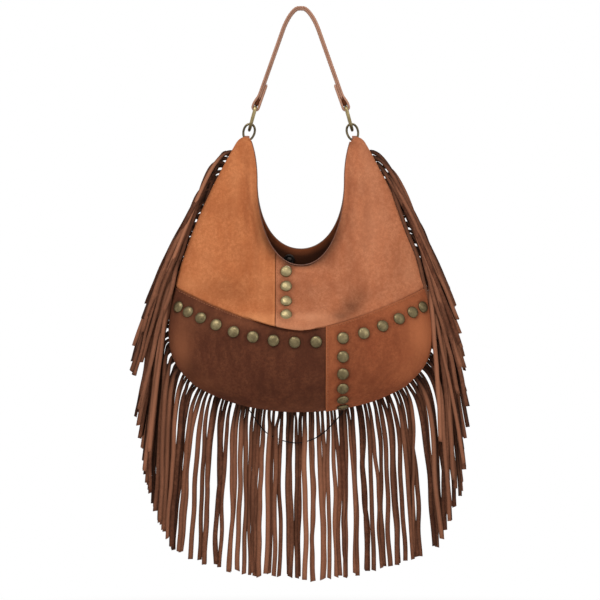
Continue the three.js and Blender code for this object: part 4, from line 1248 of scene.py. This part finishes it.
def link_piece(word, side):
    """The cast link, with its straight bar in the strap's fold and its deep foot."""
    half_thick, seat = 2.0, 2 + LINK_DROP
    shares = np.arange(120) / 120
    outer = resample(link_outline(14.0, half_thick, -seat - 7.7, 7.0), shares)
    inner = resample(link_outline(10.0, -half_thick, -seat, 0.9), shares)
    flat, across = loop_grid(inner, outer, 16, 2.7)
    lean = LINK_LEAN * side
    up = np.array([-math.sin(lean), 0, math.cos(lean)])
    out = np.array([math.cos(lean), 0, math.sin(lean)])
    origin = np.array([side * LINK_BAR[0], 0, LINK_BAR[1]])
    points = origin + flat[..., :1] * ACROSS + flat[..., 1:] * up + (across * half_thick)[..., None] * out
    low = unit((-seat + 3 - flat[..., 1]) / 8).ravel()
    pile = Pile()
    # Painted shade on the link's deep foot, and a faint painted highlight above it.
    pile.add(*tube_mesh(points, closed=True), shade=0.55 * low, pale=unit(0.3 - low) * 0.5)
    made = pile.make(f"{word}_link_brass", LINK_BRASS, f"link_{word}", "link_brass")
    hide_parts(f"strap_link_{word}")


def ring_piece(word, side):
    """The wire ring, a little wider above its middle, in its lean."""
    turns = np.arange(96) / 96 * 2 * math.pi
    out = (RING_WIDTH - RING_WIRE) / 2 * np.sin(turns) * (1 + 0.1 * np.cos(turns))
    down = RING_PITCH / 2 * (1 - np.cos(turns))
    x = RING_TOP[0] + math.sin(RING_LEAN) * down + math.cos(RING_LEAN) * out
    z = RING_TOP[1] - math.cos(RING_LEAN) * down + math.sin(RING_LEAN) * out
    path = np.stack([side * x, np.zeros(96), z], 1)
    pile = Pile()
    wire = tube(path, RING_WIRE, RING_WIRE, ACROSS, 16, closed=True)
    pile.add(*tube_mesh(wire, closed=True), shade=0.0, pale=0.0)
    made = pile.make(f"{word}_ring_brass", RING_BRASS, f"ring_{word}", "ring_metal")
    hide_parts(f"ring_{word}")


def tab_side(half, foot, rise):
    """One face of the tab in depth and height: a leg, the arc over the ring's foot, and the other leg."""
    turns, legs = np.linspace(0, math.pi, 36), np.linspace(-11, -1, 8)
    arc = np.stack([half * np.cos(turns), foot + rise * np.sin(turns)], 1)
    return np.vstack([[(half, u) for u in legs], arc, [(-half, u) for u in legs[::-1]]])


def tab_piece(word, side):
    """A leather loop over the ring's foot, its two legs sewn into the peak."""
    inner, outer = tab_side(1.95, 0.35, 2.7), tab_side(2.95, 2.6, 3.0)
    flat, across = loop_grid(inner, outer, 16, 5, math.pi / 16)
    points = np.stack([side * RING_FOOT[0] + across * 3.2, flat[..., 0], RING_FOOT[1] + flat[..., 1]], -1)
    pile = Pile()
    pile.add(*tube_mesh(points), shade=0.0, pale=0.1)
    made = pile.make(f"{word}_tab_leather", TAB_LEATHER, "pouch", "suede_tan")
    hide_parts(f"ring_tab_{word}")


for word, side in (("left", LEFT), ("right", RIGHT)):
    link_piece(word, side)
    ring_piece(word, side)
    tab_piece(word, side)

# ---------- fringe ----------
STRIP_WIDTH, STRIP_THICK, STRIP_PITCH, STRIP_LENGTH = 5.9, 1.3, 5.2, 201.0
FRINGE_TOP, FRINGE_CORNER = 15.5, 289.0
STRIP_STEPS, ROOT_INSIDE = 44, 0.8
CORD_LANE, CORD_SETTLE, SIDE_SETTLE, BOTTOM_SETTLE = 7.4, 12, 22, 36
ROOT_NARROWS, ROOT_SHADE_REACH = 26, 26


def root_line():
    """The seam from the left peak round the bottom to the right peak, with outward directions."""
    left = outline(LEFT, FRINGE_TOP, FLOOR_DROP, 400)
    line = resample(joined(left, left * [-1, 1]), np.linspace(0, 1, 1600))
    way = headings(line)
    return line, np.stack([way[:, 1], -way[:, 0]], 1)


ROOTS, ROOT_OUT = root_line()
ROOT_LENGTH = length_of(ROOTS)
# By the root's view row: the least and most lean in degrees, and how far a strip droops as it leaves
LEAN_ROWS = np.array([
    (148, 22, 35, 30), (175, 21, 34, 28), (200, 19, 32, 24), (230, 14, 27, 20), (260, 9, 22, 14),
    (290, 5, 15.5, 8), (315, 3, 11, 4), (340, 2, 7.5, 0), (365, 3, 7, 0), (385, 3, 6.5, 0),
    (398, 1, 4, 0), (412, -1.2, 1.2, 0),
])
# The pile's outer edge on the left and the right, by view row
REACH_ROWS = np.array([
    (150, 225, 377), (158, 215, 389), (170, 206, 397), (182, 200, 403), (194, 196, 409), (206, 187, 415),
    (218, 179, 420), (242, 167, 431), (266, 155, 442), (290, 146, 452), (314, 138, 459), (338, 129, 463),
    (374, 129, 469), (410, 130, 470), (446, 136, 471), (470, 141, 468), (494, 147, 464), (518, 155, 454),
    (545, 168, 441), (600, 186, 424),
])


def strip_points(root, out, rng):
    """One strip's centreline in the seam's plane, from the seam to the cut end."""
    side = LEFT if root[0] < 0 else RIGHT
    row = PHOTO_Y - root[1] / PX
    low, high, droop = (np.interp(row, LEAN_ROWS[:, 0], LEAN_ROWS[:, k]) for k in (1, 2, 3))
    start = math.degrees(math.atan2(out[0] * side, -out[1]))
    sideways = min(1.0, max(0.0, start - 20) / 60)
    start += rng.uniform(-1.6, 0.5) * droop * sideways + rng.gauss(0, 7) * sideways
    lean = low + (high - low) * rng.random() ** 0.75
    if rng.random() < 0.2 * sideways:
        lean -= rng.uniform(2, 8)
    reach = rng.choice((5, 8, 12, 17)) + 4 * rng.random() if sideways > 0.8 else 20 + 12 * rng.random()
    length = STRIP_LENGTH * (1.004 + 0.007 * side + rng.uniform(-0.022, 0.014))
    s = length * np.linspace(0, 1, STRIP_STEPS) ** 1.2
    fall = 1 - 0.2 * (s / length) ** 1.5
    angle = np.radians(lean * fall + (start - lean) * np.exp(-((s / reach) ** 1.25)))
    for wave, sway in ((rng.uniform(100, 180), 3.4), (rng.uniform(38, 75), 2.6)):
        turn = 2 * math.pi * s / wave + rng.uniform(0, 6.28)
        angle += np.radians(sway * rng.uniform(0.2, 1.3)) * np.sin(turn) * unit(s / 40)
    ds = np.diff(s, prepend=0)
    x = root[0] + side * np.cumsum(np.sin(angle) * ds)
    z = root[1] - np.cumsum(np.cos(angle) * ds)
    return np.stack([x, z], 1), s, sideways


def keep_inside(line, root, margin):
    """Draws a whole strip in until it stays inside the pile's outer edge."""
    side = LEFT if root[0] < 0 else RIGHT
    edge = REACH_ROWS[:, 1 if side == LEFT else 2]
    limit = np.interp(PHOTO_Y - line[:, 1] / PX, REACH_ROWS[:, 0], edge)
    limit = np.abs((limit - PHOTO_X) * PX) - STRIP_WIDTH / 2 - margin - abs(root[0])
    away = side * line[:, 0] - abs(root[0])
    share = np.where((away > limit) & (away > 0.5), np.maximum(limit, 0.5) / np.maximum(away, 0.5), 1)
    share = min(1.0, float(share[6:].min()))
    line[:, 0] = side * (abs(root[0]) + away * share)
    return line


# A strip's section, as shares of half its width, of half its thickness and of its cupping
STRIP_SECTION = [(-1, -0.55, 1), (-0.88, -1, 1), (0, -1, -1), (0.88, -1, 1), (1, -0.55, 1),
                 (1, 0.55, 1), (0.88, 1, 1), (0, 1, -1), (-0.88, 1, 1), (-1, 0.55, 1)]
# How much darker each of these points is than the strip's face: painted shade on the edges stands in for
# the shaded gaps between strips
EDGE_SHADE = np.array([0.5 if abs(a) == 1 else 0.3 if a else -0.06 for a, _, _ in STRIP_SECTION])


def strip_mesh(points, twist, narrow, rng):
    """A strip of leather along its centreline, twisted, cupped and cut off at a slant."""
    way = headings(points)
    flat = np.cross(way, ACROSS)
    flat /= np.linalg.norm(flat, axis=1, keepdims=True)
    deep = np.cross(flat, way)
    wide = flat * np.cos(twist)[:, None] + deep * np.sin(twist)[:, None]
    thin = np.cross(wide, way)
    w = (STRIP_WIDTH / 2 * rng.uniform(0.84, 1.08) * narrow)[:, None]
    h, cup = STRIP_THICK / 2, rng.uniform(-0.4, 0.4)
    rings = np.stack([points + wide * (a * w) + thin * (b * h + cup * c * 0.5)
                      for a, b, c in STRIP_SECTION], 1)
    slant = rng.uniform(-0.5, 0.5)
    rings[-1] += way[-1] * np.array([a * w[-1, 0] * slant for a, _, _ in STRIP_SECTION])[:, None]
    return tube_mesh(rings)


def bundles(strips, rng, sizes):
    """Splits a run of strips into small neighbouring groups."""
    out, i = [], 0
    while i < len(strips):
        n = rng.choice(sizes)
        out.append(strips[i:i + n])
        i += n
    return out


def fringe_piece(name, node, keep, seed, lanes, sizes, pull):
    """One run of strips. Each hangs in its own lane in front of or behind the seam, in small bundles."""
    rng = random.Random(seed)
    pile = Pile()
    count = int(round(ROOT_LENGTH / STRIP_PITCH))
    strips = []
    for i in range(count):
        k = int((i + 0.5) / count * (len(ROOTS) - 1))
        k = min(len(ROOTS) - 1, max(0, k + rng.randint(-2, 2)))
        root, out = ROOTS[k], ROOT_OUT[k]
        if keep(root):
            line, s, sideways = strip_points(root - out * ROOT_INSIDE, out, rng)
            strips.append([keep_inside(line, root, rng.uniform(-0.5, 2)), s, sideways, len(strips)])
    for bundle in bundles(strips, rng, sizes):
        middle = np.mean([b[0] for b in bundle], axis=0)
        hold, tone, close = pull * rng.uniform(0.2, 1.2), rng.random(), rng.choice((9, 22, 45, 70))
        for line, s, sideways, place in bundle:
            line = line + (middle - line) * (smoothstep(unit((s - 3) / close)) * hold)[:, None]
            lane = lanes[(place * 4) % len(lanes)] + rng.uniform(-0.6, 0.6)
            at_side = sideways > 0.5
            settle = SIDE_SETTLE if at_side else BOTTOM_SETTLE
            by_cord = CORD_ROUTE[0][0] < line[0, 0] < CORD_ROUTE[-1][0] and node == "fringe_bottom"
            if by_cord and rng.random() < 0.8:
                lane, settle = CORD_LANE + rng.uniform(0, 1.5), CORD_SETTLE
            y = lane * (1 - np.exp(-s / settle))
            y += rng.uniform(0.3, 1.1) * np.sin(s / rng.uniform(15, 27) + rng.uniform(0, 6)) * unit(s / 60)
            twist = rng.gauss(0, 20) * smoothstep(unit(s / 90))
            twist += rng.gauss(0, 12) * np.sin(s / rng.uniform(30, 60))
            twist += rng.choice((-1, 1)) * (34 - 18 * sideways) * rng.uniform(0.3, 1.3) * bell(s - 12, 12)
            points = np.stack([line[:, 0], y, line[:, 1]], 1)
            narrow = 1 - (rng.uniform(0.05, 0.46) - 0.1 * sideways) * bell(s, ROOT_NARROWS)
            narrow *= 1 - 0.13 * sideways
            verts, faces = strip_mesh(points, np.radians(twist), narrow, rng)
            # Painted shade: strips in the middle lanes, inside the pile, get darker and less of their
            # lighter tone, over some random darkness.
            inside = 1 - min(1.0, abs(lane) / (9 if at_side else 5))
            own = 0.66 * inside * sideways ** 0.5 + 0.3 * rng.random() ** 2
            # The roots by the seam get painted shade, where the bag shades them.
            dark = np.maximum(0.92 * np.exp(-((s / ROOT_SHADE_REACH) ** 1.5)), own * unit(s / 20))
            light = (0.4 * tone + 0.6 * rng.random()) * (1 - 0.5 * inside)
            pile.add(verts, faces, tone=light, shade=unit(dark[:, None] + EDGE_SHADE).ravel(), pale=0.0)
    made = pile.make(name, FRINGE_SUEDE, "pouch", "fringe_suede")
    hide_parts(node)
    seam = length_of(ROOTS[[k for k in range(0, len(ROOTS), 4) if keep(ROOTS[k])]])


CORNER_Z = PEAK_Z - FRINGE_CORNER
SIDE_LANES = [-12, 3, -7, 9, -1, -10, 6, -4, 12, 0]
BOTTOM_LANES = [-4.5, 1.5, -1.5, 4.5, 0, -3, 3]
for word, seed, lanes, sizes, pull, keep in (
        ("left", 21, SIDE_LANES, (1, 2, 3), 0.5, lambda r: r[0] < 0 and r[1] > CORNER_Z),
        ("right", 22, SIDE_LANES, (1, 2, 2), 0.45, lambda r: r[0] > 0 and r[1] > CORNER_Z),
        ("bottom", 23, BOTTOM_LANES, (1, 1, 2, 3), 0.42, lambda r: r[1] <= CORNER_Z)):
    fringe_piece(f"{word}_fringe_strips", f"fringe_{word}", keep, seed, lanes, sizes, pull)

# ---------- floor, world and lamps ----------


def background_rays(tree):
    """1 on the rays that show the background: the camera's own, and those that metal and glass send."""
    rays = tree.nodes.new("ShaderNodeLightPath")
    total = rays.outputs["Is Camera Ray"]
    for word in ("Is Glossy Ray", "Is Transmission Ray"):
        both = tree.nodes.new("ShaderNodeMath")
        both.operation = "MAXIMUM"
        tree.links.new(total, both.inputs[0])
        tree.links.new(rays.outputs[word], both.inputs[1])
        total = both.outputs[0]
    return total


def floor_material():
    """White paint near the bag, which keeps its shadow, and plain white further out."""
    g = Graph("floor_white")
    paint = g.node("ShaderNodeBsdfDiffuse", Color=(0.88, 0.88, 0.88, 1.0))
    plain_white = g.node("ShaderNodeEmission", Strength=1.0)
    far = g.node("ShaderNodeVectorMath", {"operation": "LENGTH"}, Vector=g.place).outputs["Value"]
    share = g.multiply(g.ramp(far, 0.35, 0.82), background_rays(g.tree))
    blend = g.node("ShaderNodeMixShader")
    for socket, value in zip(blend.inputs, (share, paint.outputs[0], plain_white.outputs[0])):
        g.tree.links.new(value, socket)
    out = next(n for n in g.tree.nodes if n.type == "OUTPUT_MATERIAL")
    g.tree.links.new(blend.outputs[0], out.inputs[0])
    g.tree.nodes.remove(g.shader)
    return g.material


FLOOR_Z, FLOOR_HALF = -0.74, 6.0
floor_mesh = bpy.data.meshes.new("floor")
floor_corners = [(x * FLOOR_HALF, y * FLOOR_HALF, 0) for x, y in ((-1, -1), (1, -1), (1, 1), (-1, 1))]
floor_mesh.from_pydata(floor_corners, [], [(0, 1, 2, 3)])
floor_mesh.materials.append(floor_material())
floor = link_new("floor", floor_mesh)
floor.location.z = FLOOR_Z

LIGHT_SKY, SEEN_SKY = 0.42, 1.0
world = bpy.data.worlds.new("studio")
bpy.context.scene.world = world
world.use_nodes = True
sky = world.node_tree
sky.nodes.clear()
sky_out = sky.nodes.new("ShaderNodeOutputWorld")
sky_mix = sky.nodes.new("ShaderNodeMixShader")
sky.links.new(background_rays(sky), sky_mix.inputs[0])
for index, strength in ((1, LIGHT_SKY), (2, SEEN_SKY)):
    half_sky = sky.nodes.new("ShaderNodeBackground")
    half_sky.inputs[0].default_value = (1, 1, 1, 1)
    half_sky.inputs[1].default_value = strength
    sky.links.new(half_sky.outputs[0], sky_mix.inputs[index])
sky.links.new(sky_mix.outputs[0], sky_out.inputs[0])


LAMP_AIM = Vector((0, 0, -0.35))


def lamp(name, place, size, power):
    """A soft box of light that faces the bag's middle."""
    data = bpy.data.lights.new(name, "AREA")
    data.shape = "RECTANGLE"
    data.size, data.size_y = size
    data.energy = power
    made = link_new(name, data)
    made.location = place
    made.rotation_euler = (LAMP_AIM - Vector(place)).to_track_quat("-Z", "Y").to_euler()


lamp("key", (-0.7, -1.5, 1.5), (1.6, 1.2), 34)
lamp("fill", (1.5, -1.9, 0.5), (1.4, 1.4), 12)
lamp("rear", (0.4, 1.9, 1.2), (1.6, 1.2), 24)

bpy.context.scene.view_settings.view_transform = "Standard"
